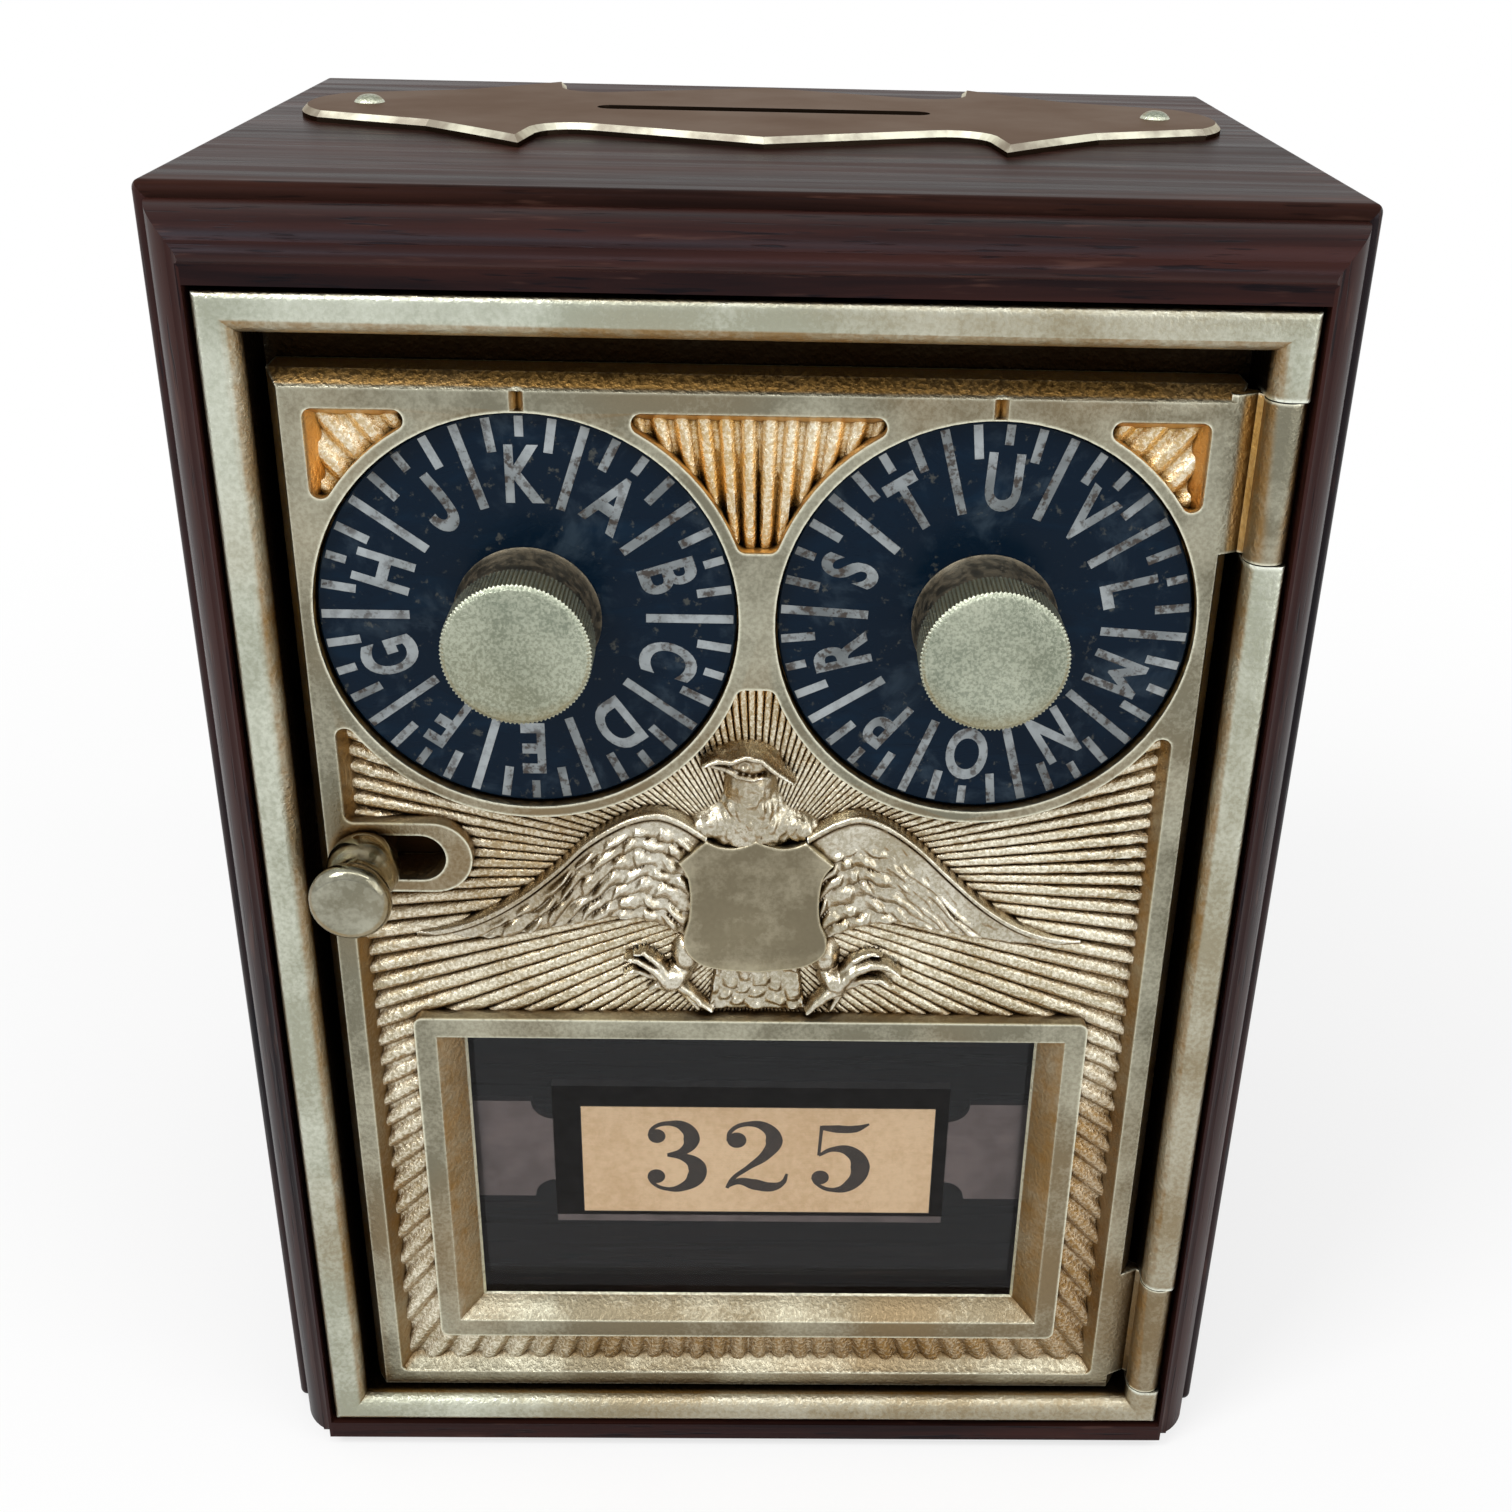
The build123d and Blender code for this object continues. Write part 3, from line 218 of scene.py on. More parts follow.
def make_walnut_group():
    """Oiled dark wood with its grain along the local X axis of the given vector."""
    build, given, out = shader_group("walnut", {"Vector": ("Vector",), "Color": ("Dark", "Light")})

    def stretched(scale):
        return build.add("ShaderNodeMapping", inputs={
            "Vector": given["Vector"], "Scale": scale}).outputs["Vector"]

    figure = build.noise(stretched((6, 60, 60)), 1.0, 4, 0.55, 1.2)
    streak = build.noise(stretched((14, 420, 420)), 1.0, 5, 0.65, 0.5)
    pores = build.noise(stretched((160, 2600, 2600)), 1.0, 2, 0.5)
    pore_mask = build.span(pores, 0.60, 0.70)
    tone = build.math("ADD", build.times(figure, 0.6), build.times(streak, 0.4))
    colour = build.mix(build.span(tone, 0.36, 0.64), given["Dark"], given["Light"])
    colour = build.mix(build.times(pore_mask, 0.75), colour, given["Dark"])
    fleck = build.span(build.noise(stretched((90, 900, 900)), 1.0, 3, 0.6), 0.60, 0.72, 0.0, 0.4)
    build.fill(out, {
        "Color": build.mix(fleck, colour, FLECK_COLOUR),
        "Roughness": build.span(streak, 0.3, 0.7, 0.22, 0.38),
        "Height": build.math("SUBTRACT", build.times(streak, 0.35), pore_mask)})
    return build.tree


CAST_METAL = make_cast_metal_group()
WALNUT = make_walnut_group()


def new_material(name):
    """Material with the helper for its tree and its Principled shader."""
    material = bpy.data.materials.new(name)
    material.use_nodes = True
    build = Tree(material.node_tree)
    return material, build, build.nodes["Principled BSDF"]


def bump(build, height, strength, distance):
    """Normal that the height bends; the distance is in metres."""
    return build.add("ShaderNodeBump", inputs={
        "Height": height, "Strength": strength, "Distance": distance}).outputs["Normal"]


NOWHERE = (1000, 2000)         # millimetres that no part of the object reaches


def cast_brass(name, clean, slope, dirt_and_shade, highlight, grain, mottle, reach, edge, relief, smooth=0.32,
               rough=0.5, gold=(1, 1, 1, 1), upper_reflection=NOWHERE, upper_reflection_share=0.85, foot_shade=0.0,
               foot_shade_top=56, sink=NOWHERE):
    """Brass finish, with lengths in millimetres.

    The height pair after gold is where slopes below the door's rim take gold as a painted warm
    reflection, the share after it how far the rest there follows them, the next two how far painted
    shade browns the foot and below which height, and sink the depth over which painted shade and soot
    fill the recess.
    """
    material, build, shader = new_material(name)
    group = build.add("ShaderNodeGroup", node_tree=CAST_METAL, inputs={
        "Clean": clean, "Slope": slope, "Dirt And Shade": dirt_and_shade, "Bright": highlight,
        "Grain": grain, "Mottle": mottle, "Dirt And Shade Reach": reach * MM, "Edge Reach": edge * MM,
        "Smooth": smooth, "Rough": rough, "Gold": gold, "Upper Reflection Low": upper_reflection[0] * MM,
        "Upper Reflection High": upper_reflection[1] * MM, "Upper Reflection Share": upper_reflection_share, "Foot Shade": foot_shade,
        "Foot Shade Top": foot_shade_top * MM, "Sink Start": sink[0] * MM,
        "Sink End": sink[1] * MM})
    build.fill(shader, {
        "Base Color": group.outputs["Color"],
        "Roughness": group.outputs["Roughness"],
        "Metallic": 1.0,
        "Normal": bump(build, group.outputs["Height"], 0.8, relief * MM)})
    return material


def walnut(name, turn, shift, dark, light, gloss=0.12, relief=0.35):
    """Wood of boards whose grain runs one way; shift gives each its own piece of the pattern."""
    material, build, shader = new_material(name)
    group = build.add("ShaderNodeGroup", node_tree=WALNUT, inputs={
        "Vector": build.mapped(rotation=turn, location=shift), "Dark": dark, "Light": light})
    build.fill(shader, {
        "Base Color": group.outputs["Color"],
        "Roughness": group.outputs["Roughness"],
        "Normal": bump(build, group.outputs["Height"], relief, 0.05 * MM),
        "Specular IOR Level": gloss,
        # bluish specular tint: painted reflection of a blue sky
        "Specular Tint": (0.72, 0.80, 1.0, 1)})
    return material


def make_plate_brass():
    """Dull brass of the plate on the top, with a painted highlight on its bevel and painted shade on
    its walls.
    """
    material, build, shader = new_material("plate_brass")
    normal = build.add("ShaderNodeTexCoord").outputs["Normal"]
    up = build.add("ShaderNodeSeparateXYZ", inputs={"Vector": normal}).outputs["Z"]
    stain = build.noise(build.mapped(), 60.0, 4, 0.55)
    colour = build.mix(build.span(stain, 0.3, 0.7), srgb(114, 97, 86), srgb(132, 115, 103))
    # noise that breaks up the painted highlight on the bevel
    rubbed = build.noise(build.mapped(), 150.0, 4, 0.6)
    worn = build.span(rubbed, 0.36, 0.62, 0.3, 1.0)
    # painted highlight: the bevel takes a near-white colour
    bevel = build.times(build.span(up, 0.95, 0.85), worn)
    colour = build.mix(bevel, colour, srgb(238, 236, 214))
    build.fill(shader, {
        # painted shade: walls and faces turned down go dark
        "Base Color": build.mix(build.span(up, 0.5, 0.2), colour, srgb(46, 36, 28)),
        "Roughness": build.span(stain, 0.3, 0.7, 0.46, 0.36),
        "Metallic": 1.0,
        "Specular Tint": (0.42, 0.37, 0.33, 1)})
    return material


def plain_metal(name, colour, roughness, scratch=0.25):
    """Machined metal for screws, pins and wheels."""
    material, build, shader = new_material(name)
    fine = build.noise(build.mapped((400, 400, 4000)), 1.0, 3)
    broad = build.noise(build.mapped(), 250.0, 3)
    tint = build.span(broad, 0.3, 0.7, 0.0, scratch)
    dark = tuple(c * 0.45 for c in colour[:3]) + (1.0,)
    build.fill(shader, {
        "Base Color": build.mix(tint, colour, dark),
        "Roughness": build.span(fine, 0.3, 0.7, roughness, roughness + 0.18),
        "Metallic": 1.0,
        "Normal": bump(build, fine, 0.2, 0.02 * MM)})
    return material


# colour of grime and painted shade in the hollows
BRASS_DIRT_AND_SHADE = srgb(34, 22, 8)
# colour of the painted reflection on the door's slopes
BRASS_SLOPE = srgb(138, 104, 56)
# heights over which the door's field takes a painted warm reflection in gold
DOOR_UPPER_REFLECTION = (76, 98)
# frame: its near-black colour fills the deep recess behind it as painted shade and soot
frame_brass = cast_brass(
    "frame_brass", srgb(164, 168, 151), srgb(136, 104, 56), srgb(14, 10, 6), srgb(238, 242, 228),
    grain=2000, mottle=0.2, reach=3.0, edge=0.5, relief=0.15, foot_shade=0.6, foot_shade_top=112,
    sink=(FACE - 5.5, FACE - 4.4))
# door: clean colour darker than the frame's, a painted dark reflection in its flat faces
door_brass = cast_brass(
    "door_brass", srgb(123, 120, 103), BRASS_SLOPE, BRASS_DIRT_AND_SHADE, srgb(222, 220, 198),
    grain=2300, mottle=0.14, reach=1.3, edge=0.3, relief=0.12, gold=srgb(220, 172, 94),
    upper_reflection=DOOR_UPPER_REFLECTION, foot_shade=0.25)
ray_brass = cast_brass(
    "ray_brass", srgb(174, 163, 135), srgb(146, 112, 62), srgb(40, 26, 10), srgb(255, 250, 230),
    grain=3000, mottle=0.66, reach=1.0, edge=0.05, relief=0.2, smooth=0.18, rough=0.42,
    gold=srgb(236, 184, 92), upper_reflection=DOOR_UPPER_REFLECTION, upper_reflection_share=0.3, foot_shade=0.95)
eagle_brass = cast_brass(
    "eagle_brass", srgb(164, 156, 134), srgb(136, 110, 70), srgb(58, 42, 20), srgb(255, 253, 240),
    grain=3000, mottle=0.3, reach=0.9, edge=0.12, relief=0.06, smooth=0.18, rough=0.34)
# shield: its pale slope colour is a painted highlight on the rounded edge
shield_brass = cast_brass(
    "shield_brass", srgb(118, 110, 90), srgb(190, 180, 150), BRASS_DIRT_AND_SHADE, srgb(236, 228, 200),
    grain=2600, mottle=0.06, reach=1.0, edge=0.25, relief=0.03)
knob_brass = cast_brass(
    "knob_brass", srgb(124, 131, 115), srgb(146, 136, 104), srgb(84, 66, 34), srgb(196, 200, 180),
    grain=4200, mottle=0.45, reach=0.8, edge=0.3, relief=0.12, smooth=0.3)
latch_brass = cast_brass(
    "latch_brass", srgb(122, 120, 104), srgb(138, 118, 80), srgb(70, 50, 24), srgb(206, 206, 188),
    grain=1400, mottle=0.2, reach=1.5, edge=0.3, relief=0.03, smooth=0.12, rough=0.26)
hub_brass = cast_brass(
    "hub_brass", srgb(142, 132, 112), srgb(138, 126, 106), srgb(60, 48, 34), srgb(190, 182, 160),
    grain=1200, mottle=0.3, reach=1.5, edge=0.3, relief=0.05, smooth=0.3)
plate_brass = make_plate_brass()
wheel_brass = plain_metal("wheel_brass", srgb(190, 160, 95), 0.35)
screw_brass = plain_metal("screw_brass", srgb(170, 140, 80), 0.38)
bolt_brass = plain_metal("blackened_brass", srgb(62, 44, 26), 0.45)
steel = plain_metal("plain_steel", srgb(150, 150, 150), 0.35)
bronze = plain_metal("dark_bronze", srgb(120, 102, 95), 0.3, 0.6)

ACROSS = (0, 0, 0)             # turns that bring a board's grain onto the pattern's X axis
UPRIGHT = (0, radians(90), 0)
WOOD_DARK = srgb(14, 9, 10)
WOOD_LIGHT = srgb(52, 27, 21)
wood_top = walnut("walnut_top", ACROSS, (0.31, 0.2, 0.1), srgb(26, 16, 14), srgb(54, 32, 26),
                  gloss=0.01, relief=0.06)
wood_across = walnut("walnut_across", ACROSS, (0.1, 0.5, 0.3), srgb(11, 8, 9), srgb(54, 28, 22),
                     gloss=0.1)
wood_upright = walnut("walnut_upright", UPRIGHT, (0.2, 0.0, 0.4), WOOD_DARK, WOOD_LIGHT)
wood_back = walnut("walnut_back", UPRIGHT, (0.7, 0.3, 0.9), WOOD_DARK, WOOD_LIGHT)


def make_enamel():
    """Black gloss enamel with faint dust and rubbed patches."""
    material, build, shader = new_material("black_enamel")
    dust = build.noise(build.mapped(), 700.0, 4, 0.7)
    smear = build.noise(build.mapped((1, 1, 2.5)), 120.0, 4, 0.6, 0.6)
    colour = build.mix(build.span(smear, 0.5, 0.8, 0.0, 0.5), srgb(2, 20, 36), srgb(12, 38, 58))
    cloud = build.noise(build.mapped(), 170.0, 5, 0.65, 0.4)
    colour = build.mix(build.span(cloud, 0.52, 0.72, 0.0, 0.55), colour, srgb(52, 66, 78))
    colour = build.mix(build.span(dust, 0.60, 0.70, 0.0, 0.45), colour, srgb(92, 92, 84))
    build.fill(shader, {
        "Base Color": colour,
        "Roughness": build.span(smear, 0.35, 0.7, 0.16, 0.4),
        "Specular IOR Level": 0.1,
        "Normal": bump(build, dust, 0.15, 0.01 * MM)})
    return material


def make_marking():
    """Silver fill of the dial's letters and lines, worn through in places."""
    material, build, shader = new_material("worn_marking")
    wear = build.noise(build.mapped(), 900.0, 5, 0.7)
    patch = build.noise(build.mapped(), 150.0, 3, 0.6)
    gone = build.times(build.span(wear, 0.48, 0.60), build.span(patch, 0.40, 0.56, 0.2, 1))
    dull = build.mix(build.span(patch, 0.3, 0.7), srgb(156, 163, 166), srgb(92, 98, 100))
    build.fill(shader, {"Base Color": build.mix(gone, dull, srgb(48, 40, 34)), "Roughness": 0.45})
    return material


def make_card(name, colour, fibre):
    """Matt paper or ink, mottled by its fibres."""
    material, build, shader = new_material(name)
    speck = build.noise(build.mapped(), 1400.0, 4, 0.6)
    broad = build.noise(build.mapped(), 90.0, 3, 0.6)
    tone = build.math("ADD", build.times(speck, 0.5), build.times(broad, 0.5))
    build.fill(shader, {
        "Base Color": build.mix(build.span(tone, 0.35, 0.65), colour, fibre),
        "Roughness": 0.8,
        "Normal": bump(build, speck, 0.2, 0.02 * MM)})
    return material


def make_glass():
    """Window glass that lets light and shadow rays straight through."""
    material, build, shader = new_material("window_glass")
    build.fill(shader, {"Base Color": (0.82, 0.87, 0.92, 1), "Transmission Weight": 1.0,
                        "IOR": 1.26, "Roughness": 0.0})
    rays = build.add("ShaderNodeLightPath").outputs
    passing = build.math("MAXIMUM", rays["Is Shadow Ray"], rays["Is Diffuse Ray"])
    clear = build.add("ShaderNodeBsdfTransparent", inputs={"Color": (0.9, 0.92, 0.91, 1)})
    both = build.add("ShaderNodeMixShader", inputs={
        0: passing, 1: shader.outputs[0], 2: clear.outputs[0]})
    build.feed(build.nodes["Material Output"].inputs["Surface"], both.outputs[0])
    return material


enamel = make_enamel()
marking = make_marking()
card_paper = make_card("card_paper", srgb(226, 188, 150), srgb(208, 168, 128))
card_ink = make_card("card_ink", srgb(40, 32, 26), srgb(58, 46, 38))
glass = make_glass()

FINISHES = (
    (wood_top, "case_top"),
    (wood_across, "case_bottom front_moulding_top front_moulding_bottom"),
    (wood_upright, "case_left_side case_right_side front_moulding_left front_moulding_right"),
    (wood_back, "case_back_panel"),
    (plate_brass, "coin_slot_plate"),
    (frame_brass, "door_frame"),
    (door_brass, "door"),
    (knob_brass, "slot_plate_pins dial_knob_left dial_knob_right"),
    (latch_brass, "latch_knob"),
    (screw_brass, "back_panel_screws frame_screws card_holder_screws bolt_guide_screws cover_screws"),
    (wheel_brass, "lock_wheel_left lock_wheel_right fence_lever bolt_guide lock_cover"),
    (bolt_brass, "bolt"),
    (steel, "hinge_pin_upper hinge_pin_lower spindle_left spindle_right wheel_washer_left "
            "wheel_washer_right wheel_screw_left wheel_screw_right fence_screws"),
    (bronze, "card_holder"),
    (card_paper, "number_card"),
    (glass, "window_glass"),
    (enamel, "dial_left dial_right"),
)
for material, nodes in FINISHES:
    for node in nodes.split():
        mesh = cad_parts[node].data
        mesh.materials.clear()
        mesh.materials.append(material)


# ---- mesh helpers ----
FLAT_ANGLE = 1.5               # degrees under which a CAD mesh's faces are joined
SOFTEN_ANGLE = 30              # degrees from which an edge is rounded


def finish_piece(name, bm, body, material, angle=35):
    """Turns a bmesh written in millimetres into a piece that rides on a body."""
    bmesh.ops.scale(bm, vec=(MM, MM, MM), verts=bm.verts)
    mesh = bpy.data.meshes.new(name)
    bm.to_mesh(mesh)
    bm.free()
    mesh.materials.append(material)
    mesh.shade_smooth()
    mesh.set_sharp_from_angle(angle=radians(angle))
    piece = bpy.data.objects.new(name, mesh)
    bpy.context.scene.collection.objects.link(piece)
    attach(piece, body)
    return piece


def apply_modifiers(piece):
    """Puts the result of the piece's modifiers into its mesh."""
    graph = bpy.context.evaluated_depsgraph_get()
    mesh = bpy.data.meshes.new_from_object(piece.evaluated_get(graph))
    piece.modifiers.clear()
    piece.data = mesh


def softened_copy(node, body, material, width):
    """Copy of a CAD node whose sharp edges are rounded a little, as on a worn casting."""
    bm = bmesh.new()
    bm.from_mesh(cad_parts[node].data)
    bmesh.ops.scale(bm, vec=(1 / MM, 1 / MM, 1 / MM), verts=bm.verts)
    bmesh.ops.remove_doubles(bm, verts=bm.verts, dist=0.002)
    bmesh.ops.dissolve_limit(bm, angle_limit=radians(FLAT_ANGLE), verts=bm.verts, edges=bm.edges)
    piece = finish_piece(node + "_soft", bm, body, material)
    soft = piece.modifiers.new("soften", "BEVEL")
    soft.width = width * MM
    soft.segments = 3
    soft.limit_method = "ANGLE"
    soft.angle_limit = radians(SOFTEN_ANGLE)
    soft.use_clamp_overlap = True
    apply_modifiers(piece)
    piece.data.shade_smooth()
    piece.data.set_sharp_from_angle(angle=radians(38))
    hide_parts(node)


def ease(value, low, high):
    """Smooth step from 0 at low to 1 at high."""
    f = min(max((value - low) / (high - low), 0.0), 1.0)
    return f * f * (3 - 2 * f)


# ---- rays in the sunk field ----
RAYS = 150
RAY_STEPS = 7              # mesh steps across one ray
RAY_RINGS = 170
RAY_RADII = (2.0, 74.0)
RAY_CROWDING = 1.25        # mesh rings lie closer together near the middle
RAY_OPENING = (26.0, 44.0)     # radii between which the grooves get wide
RAY_RISE = 0.62
RAY_STEEPNESS = 0.42       # a narrow ray rises this share of its width
GROOVE = FIELD - 0.04
SHEET_WALL = 0.3           # how deep the walls of rays and wings go into the door


def ray_surface(vertex, rays, half):
    """Moves a vertex of a unit grid to its place on one half of the fan of rounded rays."""
    across = (vertex.co.x + 0.5 + half) * RAYS / 2
    outward = vertex.co.y + 0.5
    angle = 2 * pi * across / RAYS - pi / 2
    radius = RAY_RADII[0] + (RAY_RADII[1] - RAY_RADII[0]) * outward ** RAY_CROWDING
    phase = across % 1.0
    number = int(across) % RAYS
    pitch = 2 * pi * radius / RAYS
    away = 1 - abs(2 * phase - 1)
    open_groove = ease(radius, *RAY_OPENING)
    crown = ease(away, 0.02 + 0.10 * open_groove, 0.40 + 0.30 * open_groove)
    rise = min(RAY_RISE, RAY_STEEPNESS * pitch) * rays[number]
    spot = Vector((cos(angle) * radius, sin(angle) * radius, 1))
    wobble = 0.05 * noise.noise(Vector((number * 3.7, radius * 0.35, 0)))
    grit = 0.07 * noise.noise(spot * 2.4) + 0.05 * noise.noise(spot * 0.9)
    x = RAY_CENTRE[0] + radius * cos(angle)
    z = RAY_CENTRE[1] - RAY_DROP * ease(-sin(angle), 0.0, 0.9) + radius * sin(angle)
    vertex.co = (x, GROOVE - crown * (rise + wobble + grit), z)


# Places where the rays stop: discs under the dials, and boxes behind the window and the slot.
DIAL_HOLE = 18.8
RAY_GAPS_ROUND = tuple((x, DIAL_Z, DIAL_HOLE) for x in DIAL_X.values())
RAY_GAPS_SQUARE = ((-31.6, 31.6, 15.0, 53.6), (-40.0, -27.2, 69.5, 75.5))
RAY_LIMITS = (-36.9, 36.9, 8.9, 114.2)


def ray_edge(x, z):
    """Nearest point on the edge of the rays' area for a point that is outside it, or None."""
    for cx, cz, radius in RAY_GAPS_ROUND:
        reach = hypot(x - cx, z - cz)
        if reach < radius:
            return cx + (x - cx) * radius / reach, cz + (z - cz) * radius / reach
    for x0, x1, z0, z1 in RAY_GAPS_SQUARE:
        if x0 < x < x1 and z0 < z < z1:
            gaps = (x - x0, x1 - x, z - z0, z1 - z)
            places = ((x0, z), (x1, z), (x, z0), (x, z1))
            return places[gaps.index(min(gaps))]
    return None


def trim_rays(bm):
    """Cuts the fan at the rim and leaves room for dials, window and latch slot."""
    x0, x1, z0, z1 = RAY_LIMITS
    for point, normal in (
        ((x1, 0, 0), (1, 0, 0)),
        ((x0, 0, 0), (-1, 0, 0)),
        ((0, 0, z1), (0, 0, 1)),
        ((0, 0, z0), (0, 0, -1)),
    ):
        bmesh.ops.bisect_plane(bm, geom=bm.verts[:] + bm.edges[:] + bm.faces[:],
                               plane_co=point, plane_no=normal, clear_outer=True)
    edge = {vertex: ray_edge(vertex.co.x, vertex.co.z) for vertex in bm.verts}
    gone = [face for face in bm.faces if all(edge[vertex] for vertex in face.verts)]
    bmesh.ops.delete(bm, geom=gone, context="FACES")
    for vertex in bm.verts:
        if edge[vertex]:
            vertex.co.x, vertex.co.z = edge[vertex]


def close_back(bm, depth):
    """Gives a sheet facing -Y a wall round its edge, sunk in what carries it."""
    rim = [e for e in bm.edges if e.is_boundary]
    made = bmesh.ops.extrude_edge_only(bm, edges=rim)["geom"]
    bmesh.ops.translate(bm, vec=(0, depth, 0),
                        verts=[g for g in made if isinstance(g, bmesh.types.BMVert)])
    bmesh.ops.recalc_face_normals(bm, faces=bm.faces)
    if sum(face.normal.y * face.calc_area() for face in bm.faces) > 0:
        bmesh.ops.reverse_faces(bm, faces=bm.faces)


def make_rays(side, half):
    """Rays on one side of the middle; half is 0 for the right and 1 for the left."""
    random.seed(4)
    rays = [random.uniform(0.86, 1.08) for _ in range(RAYS)]
    bm = bmesh.new()
    bmesh.ops.create_grid(bm, x_segments=RAYS * RAY_STEPS // 2, y_segments=RAY_RINGS, size=0.5)
    for vertex in bm.verts:
        ray_surface(vertex, rays, half)
    trim_rays(bm)
    close_back(bm, SHEET_WALL)
    finish_piece(f"sunburst_{side}", bm, "door", ray_brass, angle=60)


# ---- eagle relief ----
RELIEF_BASE = FIELD + 0.1
WING_LENGTH = 31.0
WING_GRID = (230, 84)      # mesh steps along and across a wing
WING_MARGIN = 1.0          # the mesh starts this far outside the wing's upper edge
COVERT = (3.1, 1.55)       # length and width of a short feather
QUILL = (11.0, 1.05)       # length and width of a long feather
BODY_STEP = 0.14           # mesh step of the head, tail and claws
BODY_WALL = 0.2
NECK_Z = 74                # head and neck are above this height, tail and claws below it
TAIL = (54.9, 62.5)        # heights of the tail's foot and top
TAIL_MIDDLE = 0.4


def along(points, t):
    """Point at t from 0 to 1 on a smooth line through the points."""
    place = min(max(t, 0.0), 1.0) * (len(points) - 1)
    start = min(int(place), len(points) - 2)
    f = place - start
    before = points[max(start - 1, 0)]
    a, b = points[start], points[start + 1]
    after = points[min(start + 2, len(points) - 1)]
    return tuple(
        0.5 * (2 * a[i] + (b[i] - before[i]) * f
               + (2 * before[i] - 5 * a[i] + 4 * b[i] - after[i]) * f * f
               + (3 * a[i] - before[i] - 3 * b[i] + after[i]) * f ** 3)
        for i in (0, 1))


def feathers(length, width, long_pitch, wide_pitch, seed):
    """Height from 0 to 1 of overlapping feathers laid along the first coordinate."""
    spot = Vector((length, width, seed))
    length += 1.5 * noise.noise(spot * 0.33)
    width += 0.75 * noise.noise(spot * 0.42 + Vector((9, 0, 0)))
    row = int(width // wide_pitch)
    step = length / long_pitch + 0.618 * row + 0.3 * noise.noise(Vector((row * 5.1, seed, 0)))
    lift = step % 1.0
    across = (width / wide_pitch) % 1.0
    crown = 1 - abs(2 * across - 1) ** 2
    lump = ease(lift, 0.0, 0.6) * (1 - ease(lift, 0.74, 1.0))
    return crown * (0.25 + 0.75 * lump)


# Each wing: upper edge, lower edge, width of the smooth band, reach of the short feathers and
# the number that its feathers' irregular places start from.
WINGS = {
    "left": (
        ((-4.4, 74.6), (-6.9, 76.3), (-9.2, 76.95), (-12.1, 76.1), (-15.4, 73.9), (-18.2, 71.1),
         (-21.4, 68.3), (-25.0, 65.9), (-28.4, 64.3), (-31.9, 63.4)),
        ((-6.2, 63.0), (-8.6, 64.3), (-11.0, 65.0), (-13.4, 65.1), (-15.9, 64.6), (-18.6, 64.0),
         (-21.6, 63.3), (-25.0, 62.6), (-28.6, 62.6), (-31.9, 63.2)),
        0.5, 0.86, 3.0),
    "right": (
        ((4.9, 74.6), (7.4, 76.2), (9.8, 76.85), (12.4, 75.9), (15.2, 73.8), (18.4, 70.6),
         (21.6, 67.6), (24.9, 65.3), (28.2, 63.8), (31.3, 63.1)),
        ((6.6, 62.9), (9.0, 63.9), (11.4, 64.7), (13.9, 64.9), (16.4, 64.3), (19.0, 63.7),
         (22.0, 63.1), (25.0, 62.5), (28.2, 62.4), (31.3, 62.9)),
        2.4, 0.40, 8.0),
}


def wing_height(along_wing, from_edge, chord, share, band, reach, seed):
    """Rise of the wing over the field; distances in millimetres, share from root to tip."""
    ridge = 1.75 * (1 - ease(abs(from_edge - 0.15), 0.15, 0.95)) * (1 - 0.45 * ease(share, 0.7, 1))
    inner = from_edge - 1.05
    plain = 1.05 * (1 - 0.5 * ease(share, 0.55, 1.0)) * ease(inner, -0.9, 0.0)
    covert = feathers(along_wing, inner, *COVERT, seed)
    quill = feathers(along_wing, inner, *QUILL, seed + 7)
    near = 1 - ease(share, reach - 0.2, reach + 0.1)
    pattern = near * 0.58 * covert + (1 - near) * 0.28 * quill
    pattern *= ease(inner, band - 0.4, band + 0.5)
    rough = 0.12 * noise.noise(Vector((along_wing, from_edge, seed)) * 1.3)
    hem = 1 - ease(from_edge, chord - 0.75, chord + 0.25)
    body = (plain + pattern + rough * ease(inner, 0, 1)) * hem
    return max(ridge, body if inner > -0.9 else 0.0) - 0.55 * (1 - hem)


def make_wing(side):
    """One wing as a sheet between its upper and lower edge."""
    upper, lower, band, reach, seed = WINGS[side]
    bm = bmesh.new()
    bmesh.ops.create_grid(bm, x_segments=WING_GRID[0], y_segments=WING_GRID[1], size=0.5)
    for vertex in bm.verts:
        share = vertex.co.x + 0.5
        across = vertex.co.y + 0.5
        top = Vector(along(upper, share))
        base = Vector(along(lower, share))
        chord = (base - top).length
        from_edge = -WING_MARGIN + (chord + 1.6 * WING_MARGIN) * across
        place = top + (base - top) * (from_edge / max(chord, 0.2))
        rise = wing_height(share * WING_LENGTH, from_edge, chord, share, band, reach, seed)
        rise -= 0.8 * ease(-from_edge, 0.2, 1.0)
        vertex.co = (place.x, RELIEF_BASE - rise, place.y)
    close_back(bm, SHEET_WALL)
    finish_piece(f"eagle_wing_{side}", bm, "door", eagle_brass, angle=60)


# Rounded masses of the body: centre x, z, half length, half width, turn in degrees, rise.
BODY_MASSES = (
    (-0.6, 82.5, 3.0, 1.75, -4, 2.3),
    (-0.9, 81.6, 2.1, 1.2, 0, 1.7),
    (-0.4, 79.4, 3.2, 2.5, 90, 1.9),
    (-0.3, 77.2, 3.1, 2.8, 0, 1.9),
    (-0.4, 75.2, 5.0, 3.0, 0, 1.95),
    (3.9, 75.3, 2.8, 1.7, -20, 1.5),
    (-4.1, 75.3, 2.6, 1.7, 20, 1.5),
    (-6.4, 61.3, 1.5, 2.3, 0, 1.6),
    (6.9, 61.3, 1.5, 2.1, 0, 1.6),
    (-7.6, 58.8, 2.0, 1.45, 35, 2.0),
    (8.0, 58.6, 2.0, 1.4, -30, 2.0),
)
